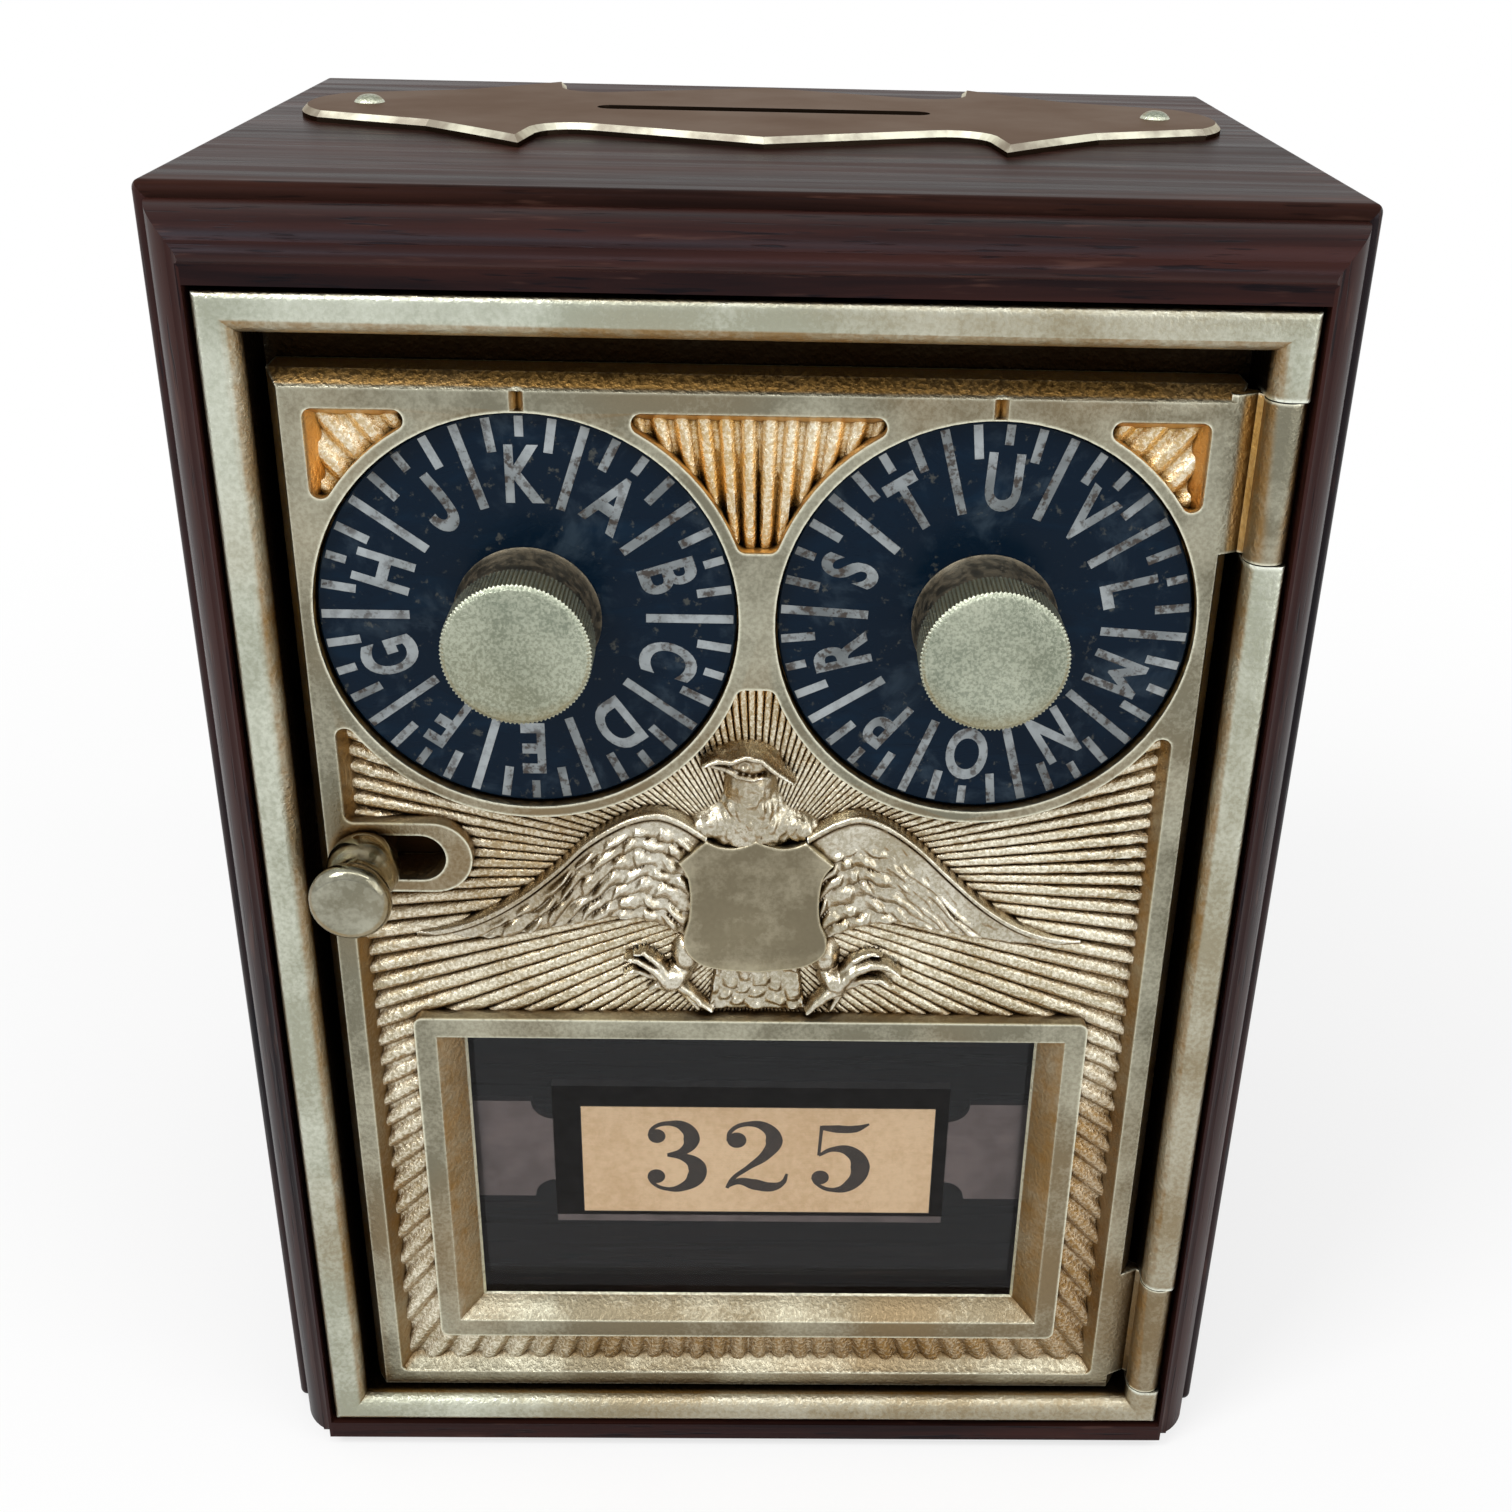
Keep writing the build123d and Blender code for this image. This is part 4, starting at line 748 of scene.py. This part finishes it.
# Strokes of the body: points (x, z, half width) and rise, for brow, beak, legs and toes.
BODY_STROKES = (
    (((-4.7, 82.5, 0.35), (-3.4, 83.0, 0.55), (-2.1, 82.9, 0.5), (-0.8, 83.4, 0.5),
      (0.6, 83.1, 0.5), (1.9, 81.9, 0.5), (3.5, 80.9, 0.3)), 2.75),
    (((-4.6, 82.5, 0.3), (-3.6, 82.2, 0.55), (-2.6, 81.9, 0.5), (-1.6, 81.2, 0.45),
      (-0.2, 80.9, 0.4), (0.9, 81.2, 0.3)), 2.1),
    (((-8.1, 58.4, 0.8), (-9.4, 60.0, 0.55), (-11.0, 61.2, 0.45), (-12.1, 61.4, 0.25)), 2.0),
    (((-8.1, 58.8, 0.8), (-9.0, 60.7, 0.5), (-10.4, 61.9, 0.4), (-11.3, 61.9, 0.2)), 1.8),
    (((-7.9, 58.4, 0.8), (-9.7, 59.2, 0.5), (-11.3, 59.8, 0.4), (-12.3, 59.5, 0.2)), 1.5),
    (((-8.3, 57.6, 0.6), (-9.2, 58.0, 0.45), (-9.9, 57.5, 0.3)), 1.2),
    (((-7.2, 58.0, 0.7), (-6.0, 57.2, 0.5), (-4.9, 55.9, 0.45), (-3.9, 55.2, 0.25)), 1.5),
    (((-6.9, 57.4, 0.5), (-5.9, 56.2, 0.4), (-5.2, 55.3, 0.3)), 1.2),
    (((8.2, 58.3, 0.9), (9.6, 60.0, 0.75), (11.3, 60.9, 0.65), (12.8, 60.8, 0.5),
      (14.1, 60.0, 0.25)), 2.1),
    (((8.4, 58.0, 0.8), (10.3, 58.9, 0.55), (12.3, 59.0, 0.4), (13.3, 58.4, 0.2)), 1.7),
    (((8.2, 58.8, 0.7), (9.6, 61.0, 0.5), (11.2, 61.9, 0.4), (12.3, 61.8, 0.2)), 1.5),
    (((8.3, 57.9, 0.8), (7.3, 57.3, 0.75), (6.2, 56.3, 0.6), (5.3, 55.4, 0.35)), 1.9),
    (((8.5, 57.4, 0.6), (8.0, 56.2, 0.5), (7.6, 55.4, 0.3)), 1.3),
)
EYE = (-0.9, 82.15)


def mass_height(x, z):
    """Smooth union of the rounded masses."""
    total = -1.0
    for cx, cz, half_length, half_width, turn, rise in BODY_MASSES:
        dx, dz = x - cx, z - cz
        across, up = cos(radians(turn)), sin(radians(turn))
        u, v = (dx * across + dz * up) / half_length, (-dx * up + dz * across) / half_width
        dome = rise * (1.15 - (u * u + v * v))
        if dome > -2:
            gap = max(0.35 - abs(total - dome), 0) / 0.35
            total = max(total, min(dome, rise)) + 0.09 * gap * gap
    return total


def stroke_height(points, rise, x, z):
    """Rounded bar along a run of points, as wide as each point says."""
    best = -1.0
    for (x0, z0, w0), (x1, z1, w1) in zip(points, points[1:]):
        dx, dz = x1 - x0, z1 - z0
        f = min(max(((x - x0) * dx + (z - z0) * dz) / (dx * dx + dz * dz), 0.0), 1.0)
        away = hypot(x - x0 - f * dx, z - z0 - f * dz) / (w0 + (w1 - w0) * f)
        if away < 1.3:
            best = max(best, rise * (1 - 0.55 * away ** 2.5))
    return best


def tail_height(x, z):
    """Fan of flat tail feathers below the shield."""
    half = 4.1 + (61 - z) * 0.14
    inside = min(half - abs(x - TAIL_MIDDLE), z - TAIL[0], TAIL[1] - z)
    plumes = feathers(63 - z, (x - TAIL_MIDDLE) / half * 4.2 + 20, 2.4, 1.5, 6.0)
    return min(0.6, 1.6 * inside) + 0.45 * plumes * ease(inside, 0.0, 0.5)


def body_height(x, z):
    """Rise of head, neck, tail and claws over the field."""
    rise = max(mass_height(x, z), tail_height(x, z))
    rough = 0.12
    if z > NECK_Z:
        plume = feathers(88 - z + 0.25 * abs(x), x + 20, 1.7, 0.8, 2.0)
        rise += 0.22 * (plume - 0.5) * ease(rise, 0.2, 1.0) * (1 - ease(z, 79.0, 80.5))
        socket = hypot(x - EYE[0], z - EYE[1])
        rise += 0.25 * max(0.0, 1 - socket / 0.35) - 0.22 * max(0.0, 1 - abs(socket - 0.6) / 0.3)
        rise = min(rise, 1.95 + 0.2 * max(0.0, z - 74.8))
        rough = 0.08
    for points, top in BODY_STROKES:
        rise = max(rise, stroke_height(points, top, x, z))
    rise += rough * noise.noise(Vector((x, z, 5)) * 1.7) * ease(rise, 0.2, 1.0)
    return rise


def make_eagle_body(name, x_limits, z_limits):
    """The part of the body that lies within the limits."""
    bm = bmesh.new()
    wide, high = x_limits[1] - x_limits[0], z_limits[1] - z_limits[0]
    bmesh.ops.create_grid(bm, x_segments=int(wide / BODY_STEP), y_segments=int(high / BODY_STEP),
                          size=0.5)
    for vertex in bm.verts:
        x = x_limits[0] + (vertex.co.x + 0.5) * wide
        z = z_limits[0] + (vertex.co.y + 0.5) * high
        vertex.co = (x, RELIEF_BASE - max(body_height(x, z), -0.6), z)
    sunk = [v for v in bm.verts if v.co.y > RELIEF_BASE + 0.5]
    bmesh.ops.delete(bm, geom=sunk, context="VERTS")
    close_back(bm, BODY_WALL)
    finish_piece(name, bm, "door", eagle_brass, angle=60)


# Outline of the shield between its corners, clockwise from the left shoulder.
SHIELD_RUNS = (
    ((-6.95, 72.0), (-5.6, 73.3), (-4.4, 74.45)),
    ((-4.4, 74.45), (-3.3, 73.9), (-2.0, 73.75), (-0.8, 74.05), (0.15, 74.55)),
    ((0.15, 74.55), (1.2, 74.05), (2.6, 73.75), (3.8, 73.95), (4.8, 74.4)),
    ((4.8, 74.4), (6.0, 73.2), (7.4, 71.95)),
    ((7.4, 71.95), (6.5, 70.6), (6.15, 68.2), (6.3, 65.8), (6.95, 63.9), (6.7, 62.1),
     (4.6, 60.7), (0.3, 60.1)),
    ((0.3, 60.1), (-4.2, 60.6), (-6.1, 62.0), (-6.6, 63.8), (-6.1, 65.9), (-5.95, 68.2),
     (-6.15, 70.4), (-6.95, 72.0)),
)
SHIELD_FRONT = FACE - 4.05
SHIELD_HALF = 0.7          # half the thickness of the shield without its rounded edge
SHIELD_EDGE = 0.22
SHIELD_STEPS = 6           # points between two points of the outline


def mesh_of(curve):
    """Mesh of a curve or text, made by way of an object that is then removed."""
    holder = bpy.data.objects.new("shape", curve)
    bpy.context.scene.collection.objects.link(holder)
    mesh = bpy.data.meshes.new_from_object(
        holder.evaluated_get(bpy.context.evaluated_depsgraph_get()))
    bpy.data.objects.remove(holder)
    return mesh


def make_shield():
    """Plain flat shield with a softened edge, standing proud of the body."""
    curve = bpy.data.curves.new("shield", "CURVE")
    curve.dimensions = "2D"
    curve.fill_mode = "BOTH"
    curve.extrude = SHIELD_HALF
    curve.bevel_depth = SHIELD_EDGE
    curve.bevel_resolution = 2
    curve.offset = -SHIELD_EDGE
    outline = []
    for run in SHIELD_RUNS:
        count = SHIELD_STEPS * (len(run) - 1)
        outline += [along(run, i / count) for i in range(count)]
    line = curve.splines.new("POLY")
    line.points.add(len(outline) - 1)
    line.use_cyclic_u = True
    for point, (x, z) in zip(line.points, outline):
        point.co = (x, z, 0, 1)
    mesh = mesh_of(curve)
    bm = bmesh.new()
    bm.from_mesh(mesh)
    bmesh.ops.remove_doubles(bm, verts=bm.verts, dist=0.001)
    bmesh.ops.rotate(bm, cent=(0, 0, 0), matrix=Matrix.Rotation(radians(90), 3, "X"), verts=bm.verts)
    bmesh.ops.translate(bm, vec=(0, SHIELD_FRONT + SHIELD_HALF + SHIELD_EDGE, 0), verts=bm.verts)
    bmesh.ops.recalc_face_normals(bm, faces=bm.faces)
    finish_piece("eagle_shield", bm, "door", shield_brass, angle=30)


# ---- dial markings ----
DIAL_FACE = FACE - 3.3
MARK_HEIGHT = 0.03
LETTERS = {"left": ("KABCDEFGHJ", 0.0), "right": ("UVLMNOPRST", 3.4)}
LETTER_TURN = 36           # degrees from one letter to the next
LETTER_RADIUS = 12.5
LETTER_SIZE = 6.8
LETTER_WEIGHT = 0.2
LETTER_DEPTH = 0.02
LETTER_NARROWING = 0.70
MARK_END = 17.75           # outer end of every line
# Lines of one letter: degrees from it, inner end and width.
DIAL_LINES = ((18, 10.2, 0.78), (0, 16.0, 0.72), (-9, 14.8, 0.76), (9, 14.8, 0.76))


def drawn_line(points, thickness, steps):
    """Mesh of a round line through points (x, z, share of the thickness)."""
    curve = bpy.data.curves.new("line", "CURVE")
    curve.dimensions = "3D"
    curve.bevel_depth = thickness
    curve.use_fill_caps = True
    line = curve.splines.new("BEZIER")
    line.resolution_u = steps
    line.bezier_points.add(len(points) - 1)
    for point, (x, z, share) in zip(line.bezier_points, points):
        point.co = (x, 0, z)
        point.handle_left_type = point.handle_right_type = "AUTO"
        point.radius = share
    return mesh_of(curve)


def add_bar(bm, centre, angle, radii, width):
    """One radial line of the dial; the angle runs clockwise from the top, in degrees."""
    made = bmesh.ops.create_cube(bm, size=1.0)["verts"]
    bmesh.ops.scale(bm, vec=(width, 2 * MARK_HEIGHT, radii[1] - radii[0]), verts=made)
    bmesh.ops.translate(bm, vec=(0, DIAL_FACE, (radii[0] + radii[1]) / 2), verts=made)
    turn = Matrix.Rotation(radians(angle), 3, "Y")
    bmesh.ops.rotate(bm, cent=(0, 0, 0), matrix=turn, verts=made)
    bmesh.ops.translate(bm, vec=(centre[0], 0, centre[1]), verts=made)


# The letter J on a box one unit high: points down its stem and round its hook.
HOOK_LETTER = ((0.17, 0.36), (0.17, -0.12), (0.13, -0.25), (0.02, -0.32), (-0.11, -0.30),
               (-0.19, -0.20), (-0.20, -0.12))


def add_hook_letter(bm, place):
    """Letter J with a full hook, drawn as one line of even width."""
    thickness = 0.055 * LETTER_SIZE + LETTER_WEIGHT
    points = [(across * LETTER_SIZE, up * LETTER_SIZE, 1.0) for across, up in HOOK_LETTER]
    mesh = drawn_line(points, thickness, 12)
    mesh.transform(place @ Matrix.Scale(MARK_HEIGHT / thickness, 4, (0, 1, 0)))
    bm.from_mesh(mesh)


def add_letter(bm, letter, place):
    """Flat letter facing -Y, moved by the place matrix."""
    if letter == "J":
        add_hook_letter(bm, place)
        return
    curve = bpy.data.curves.new("letter", "FONT")
    curve.body = letter
    curve.size = LETTER_SIZE
    curve.bevel_depth = LETTER_WEIGHT
    curve.bevel_resolution = 0
    curve.extrude = LETTER_DEPTH
    curve.align_x = "CENTER"
    curve.align_y = "CENTER"
    curve.resolution_u = 6
    mesh = mesh_of(curve)
    flat = Matrix.Scale(MARK_HEIGHT / (LETTER_WEIGHT + LETTER_DEPTH), 4, (0, 1, 0))
    mesh.transform(place @ flat @ Matrix.Rotation(radians(90), 4, "X"))
    bm.from_mesh(mesh)


def make_dial_marks(hand):
    """Letters and lines of one dial."""
    letters, turned = LETTERS[hand]
    centre = (DIAL_X[hand], DIAL_Z)
    bm = bmesh.new()
    for number, letter in enumerate(letters):
        angle = number * LETTER_TURN + turned
        for away, inner_end, width in DIAL_LINES:
            add_bar(bm, centre, angle + away, (inner_end, MARK_END), width)
        place = (Matrix.Translation((centre[0], DIAL_FACE, centre[1]))
                 @ Matrix.Rotation(radians(angle), 4, "Y")
                 @ Matrix.Translation((0, 0, LETTER_RADIUS))
                 @ Matrix.Scale(LETTER_NARROWING, 4, (1, 0, 0)))
        add_letter(bm, letter, place)
    finish_piece(f"dial_marks_{hand}", bm, f"dial_{hand}_body", marking)


# ---- card number ----
CARD_FACE = FACE + 0.5
# Strokes as x, z and half width, in a box about 6 wide and 9 high; a single point is a ball.
NUMERALS = {
    "2": (((1.3, 6.75, 1.0),),
          ((0.5, 6.6, 0.2), (0.75, 7.9, 0.24), (2.3, 8.85, 0.3), (4.1, 8.3, 0.62),
           (4.75, 6.7, 0.9), (4.1, 5.0, 0.62), (2.3, 3.1, 0.3), (0.95, 1.7, 0.24),
           (0.4, 0.45, 0.2)),
          ((0.45, 0.75, 0.25), (1.5, 1.35, 0.42), (3.0, 0.95, 0.72), (4.6, 0.65, 0.6),
           (5.6, 1.2, 0.3), (6.0, 2.4, 0.14))),
    "5": (((1.25, 1.95, 0.92),),
          ((1.25, 8.7, 0.2), (1.15, 6.8, 0.17), (1.05, 4.85, 0.17)),
          ((1.25, 8.45, 0.3), (2.7, 8.3, 0.5), (4.4, 8.35, 0.45), (5.6, 8.95, 0.12)),
          ((1.05, 4.85, 0.17), (2.3, 5.65, 0.3), (4.0, 5.35, 0.7), (4.95, 3.4, 1.02),
           (4.1, 1.0, 0.72), (2.5, 0.3, 0.28), (0.95, 1.1, 0.2), (0.55, 1.9, 0.2))),
    "3": (((1.35, 7.2, 0.9),), ((1.25, 1.95, 0.92),),
          ((0.65, 7.2, 0.2), (1.0, 8.2, 0.22), (2.5, 8.85, 0.3), (4.0, 8.3, 0.68),
           (4.55, 6.8, 0.86), (3.8, 5.3, 0.5), (2.3, 4.75, 0.2)),
          ((2.3, 4.75, 0.2), (3.8, 4.5, 0.5), (5.0, 3.3, 0.95), (4.9, 1.8, 0.95),
           (3.8, 0.6, 0.55), (2.4, 0.25, 0.26), (0.95, 1.0, 0.2), (0.55, 1.9, 0.2))),
}
NUMBER = (("3", -11.2), ("2", -2.9), ("5", 5.9))
NUMERAL_WIDTH = 1.12
NUMERAL_FOOT = 30.1        # z of the numerals' feet
INK_FLATNESS = 0.012


def add_stroke(bm, stroke, x, z):
    """One pen stroke of changing width, pressed flat on the card; x and z place its numeral."""
    stroke = [(x + across * NUMERAL_WIDTH, z + up, radius) for across, up, radius in stroke]
    if len(stroke) == 1:
        across, up, radius = stroke[0]
        made = bmesh.ops.create_uvsphere(bm, u_segments=24, v_segments=12, radius=radius)["verts"]
        bmesh.ops.translate(bm, vec=(across, 0, up), verts=made)
        return
    bm.from_mesh(drawn_line(stroke, 1.0, 10))


def make_number():
    """The card's number as flat ink."""
    bm = bmesh.new()
    for numeral, x in NUMBER:
        for stroke in NUMERALS[numeral]:
            add_stroke(bm, stroke, x, NUMERAL_FOOT)
    bmesh.ops.scale(bm, vec=(1, INK_FLATNESS, 1), verts=bm.verts)
    bmesh.ops.translate(bm, vec=(0, CARD_FACE, 0), verts=bm.verts)
    finish_piece("card_number", bm, "door", card_ink, angle=60)


# ---- knobs ----
KNOB_R = 6.3
KNOB_TEETH = 104
TOOTH_DEPTH = 0.16
KNURL_INNER_R = 6.05       # what lies further in is smooth
HUB_STEPS = 72             # flat sides of the hub's sleeve
LATCH_STEPS = 64
KNOB_FRONT = FACE - 12.1
KNOB_BACK = FACE - 8.0
LATCH_X = -35.45
LATCH_Z = 72.5


def spun(profile, segments, centre):
    """Closed solid of revolution about the line along Y through centre; profile is (radius, y)."""
    bm = bmesh.new()
    made = [bm.verts.new((radius, y, 0)) for radius, y in profile]
    edges = [bm.edges.new(pair) for pair in zip(made, made[1:])]
    bmesh.ops.spin(bm, geom=made + edges, cent=(0, 0, 0), axis=(0, 1, 0), angle=2 * pi,
                   steps=segments, use_merge=True)
    bmesh.ops.remove_doubles(bm, verts=bm.verts, dist=0.0005)
    bmesh.ops.recalc_face_normals(bm, faces=bm.faces)
    bmesh.ops.translate(bm, vec=(centre[0], 0, centre[1]), verts=bm.verts)
    return bm


def make_dial_knob(hand):
    """Knurled knob with a softly rounded, blasted face."""
    front, back = KNOB_FRONT, KNOB_BACK
    profile = [(0, front), (3.5, front), (5.75, front + 0.02), (5.95, front + 0.12),
               (6.12, front + 0.34), (6.18, front + 0.6), (6.18, back - 0.35), (5.9, back),
               (2.5, back), (2.5, front + 1.3), (0, front + 1.3)]
    bm = spun(profile, KNOB_TEETH * 4, (0, 0))
    for vertex in bm.verts:
        radius = hypot(vertex.co.x, vertex.co.z)
        if radius > KNURL_INNER_R and front + 0.3 < vertex.co.y < back - 0.2:
            tooth = 0.5 + 0.5 * cos(KNOB_TEETH * atan2(vertex.co.z, vertex.co.x))
            grow = (KNOB_R - TOOTH_DEPTH * (1 - tooth)) / radius
            vertex.co.x *= grow
            vertex.co.z *= grow
    bmesh.ops.translate(bm, vec=(DIAL_X[hand], 0, DIAL_Z), verts=bm.verts)
    node = f"dial_knob_{hand}"
    piece = finish_piece(node + "_knurled", bm, f"dial_{hand}_body", knob_brass)
    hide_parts(node)


def make_hub(hand):
    """Dull metal sleeve round the dial's hub."""
    back, front = DIAL_FACE, KNOB_BACK
    profile = [(5.0, back), (6.35, back), (6.4, back - 0.25), (6.12, back - 0.7), (5.84, front),
               (5.0, front), (5.0, back)]
    bm = spun(profile, HUB_STEPS, (DIAL_X[hand], DIAL_Z))
    finish_piece(f"dial_hub_{hand}", bm, f"dial_{hand}_body", hub_brass)


def make_latch_knob():
    """Turned latch knob: round head, waist and ball, on a shank that goes to the bolt."""
    profile = [(0, -13.0), (2.7, -13.0), (2.95, -12.96), (3.25, -12.78), (3.52, -12.45),
               (3.65, -12.0), (3.62, -11.55), (3.4, -10.95), (2.95, -10.3), (2.5, -9.7),
               (2.3, -9.2), (2.28, -8.8), (2.42, -8.35), (2.75, -7.85), (3.08, -7.3),
               (3.26, -6.7), (3.3, -6.1), (3.22, -5.5), (3.05, -4.9), (2.8, -4.4), (2.1, -4.35),
               (2.1, 1.0), (1.2, 1.0), (1.2, 3.4), (0, 3.4)]
    bm = spun([(radius, FACE + y) for radius, y in profile], LATCH_STEPS, (LATCH_X, LATCH_Z))
    piece = finish_piece("latch_knob_turned", bm, "latch", latch_brass, angle=50)
    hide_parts("latch_knob")


softened_copy("door_frame", "case", frame_brass, 0.45)
softened_copy("door", "door", door_brass, 0.3)
make_rays("right", 0)
make_rays("left", 1)
make_wing("left")
make_wing("right")
make_eagle_body("eagle_head", (-6.5, 6.8), (72.8, 86.0))
make_eagle_body("eagle_tail_and_claws", (-14.0, 15.5), (54.4, 64.5))
make_shield()
make_number()
for hand in DIAL_X:
    make_dial_marks(hand)
    make_dial_knob(hand)
    make_hub(hand)
make_latch_knob()


# ---- floor, light and camera ----
FLOOR_HALF = 6.0
FLOOR_FADE = (0.06, 0.32)      # distances between which the floor turns white
FLOOR_WHITE = (0.72, 1.0)      # share of plain white before and after that
GREY_WORLD = 0.55              # strength of the world's light on everything but what sees it

# The photograph's camera, from a fit of its straight edges. The PHOTO values are in its pixels.
PHOTO_SIZE = 1512
PHOTO_FOCAL = 1792.5
PHOTO_CENTRE = (799.3, 757.6)
SENSOR = 36.0
CAMERA_PLACE = (0.31, -179.71, 155.96)
CAMERA_RIGHT = Vector((0.9997, -0.0143, 0.0219))
CAMERA_FORWARD = Vector((0.0226, 0.8917, -0.4521))

# Lights: name, place, point that they face, size and power.
LIGHTS = (
    ("key", (-0.5, -0.45, 0.75), (0, 0, 0.07), (0.3, 0.3), 4.0),
    ("fill", (0.7, -0.5, 0.35), (0, 0, 0.07), (0.6, 0.6), 2.0),
    ("top", (0.0, -0.30, 0.75), (0, 0, 0.1), (1.2, 0.10), 2.2),
)


def make_floor():
    """Floor that keeps a soft shadow near the object and is plain white further out."""
    bm = bmesh.new()
    bmesh.ops.create_grid(bm, x_segments=1, y_segments=1, size=FLOOR_HALF)
    mesh = bpy.data.meshes.new("floor")
    bm.to_mesh(mesh)
    bm.free()
    material, build, shader = new_material("pale_floor")
    build.fill(shader, {"Base Color": (0.86, 0.86, 0.86, 1), "Roughness": 0.9,
                        "Specular IOR Level": 0.1})
    away = build.add("ShaderNodeVectorMath", operation="LENGTH", inputs={0: build.mapped()})
    share = build.span(away.outputs["Value"], *FLOOR_FADE, *FLOOR_WHITE)
    rays = build.add("ShaderNodeLightPath").outputs
    seen = build.times(rays["Is Camera Ray"], share)
    white = build.add("ShaderNodeEmission", inputs={"Color": (1, 1, 1, 1), "Strength": 1.0})
    both = build.add("ShaderNodeMixShader", inputs={
        0: seen, 1: shader.outputs[0], 2: white.outputs[0]})
    build.feed(build.nodes["Material Output"].inputs["Surface"], both.outputs[0])
    mesh.materials.append(material)
    floor = bpy.data.objects.new("floor", mesh)
    bpy.context.scene.collection.objects.link(floor)


def area_light(name, place, target, size, power):
    """Rectangular light that faces a point; all lengths are in metres."""
    light = bpy.data.lights.new(name, "AREA")
    light.shape = "RECTANGLE"
    light.size, light.size_y = size
    light.energy = power
    lamp = bpy.data.objects.new(name, light)
    lamp.location = place
    lamp.rotation_euler = (Vector(target) - Vector(place)).to_track_quat("-Z", "Y").to_euler()
    bpy.context.scene.collection.objects.link(lamp)


def make_world():
    """White background for the camera and for reflections, grey light on everything else."""
    world = bpy.data.worlds.new("studio")
    world.use_nodes = True
    build = Tree(world.node_tree)
    rays = build.add("ShaderNodeLightPath").outputs
    seen = build.math("MAXIMUM", rays["Is Camera Ray"], rays["Is Glossy Ray"])
    seen = build.math("MAXIMUM", seen, rays["Is Transmission Ray"])
    strength = build.span(seen, 0.0, 1.0, GREY_WORLD, 1.0)
    build.fill(build.nodes["Background"], {"Strength": strength, "Color": (1, 1, 1, 1)})
    bpy.context.scene.world = world


def make_camera():
    """Camera that sees the object as the photograph's did."""
    camera = bpy.data.cameras.new("camera")
    camera.sensor_width = SENSOR
    camera.lens = PHOTO_FOCAL / PHOTO_SIZE * SENSOR
    camera.shift_x = -(PHOTO_CENTRE[0] - PHOTO_SIZE / 2) / PHOTO_SIZE
    camera.shift_y = (PHOTO_CENTRE[1] - PHOTO_SIZE / 2) / PHOTO_SIZE
    camera.clip_start = 0.01
    view = bpy.data.objects.new("camera", camera)
    forward = CAMERA_FORWARD.normalized()
    up = CAMERA_RIGHT.cross(forward).normalized()
    right = forward.cross(up).normalized()
    turn = Matrix((right, up, -forward)).transposed()
    view.matrix_world = Matrix.Translation([place * MM for place in CAMERA_PLACE]) @ turn.to_4x4()
    bpy.context.scene.collection.objects.link(view)
    bpy.context.scene.camera = view


make_floor()
make_world()
for lamp in LIGHTS:
    area_light(*lamp)
make_camera()
bpy.context.scene.view_settings.view_transform = "Standard"
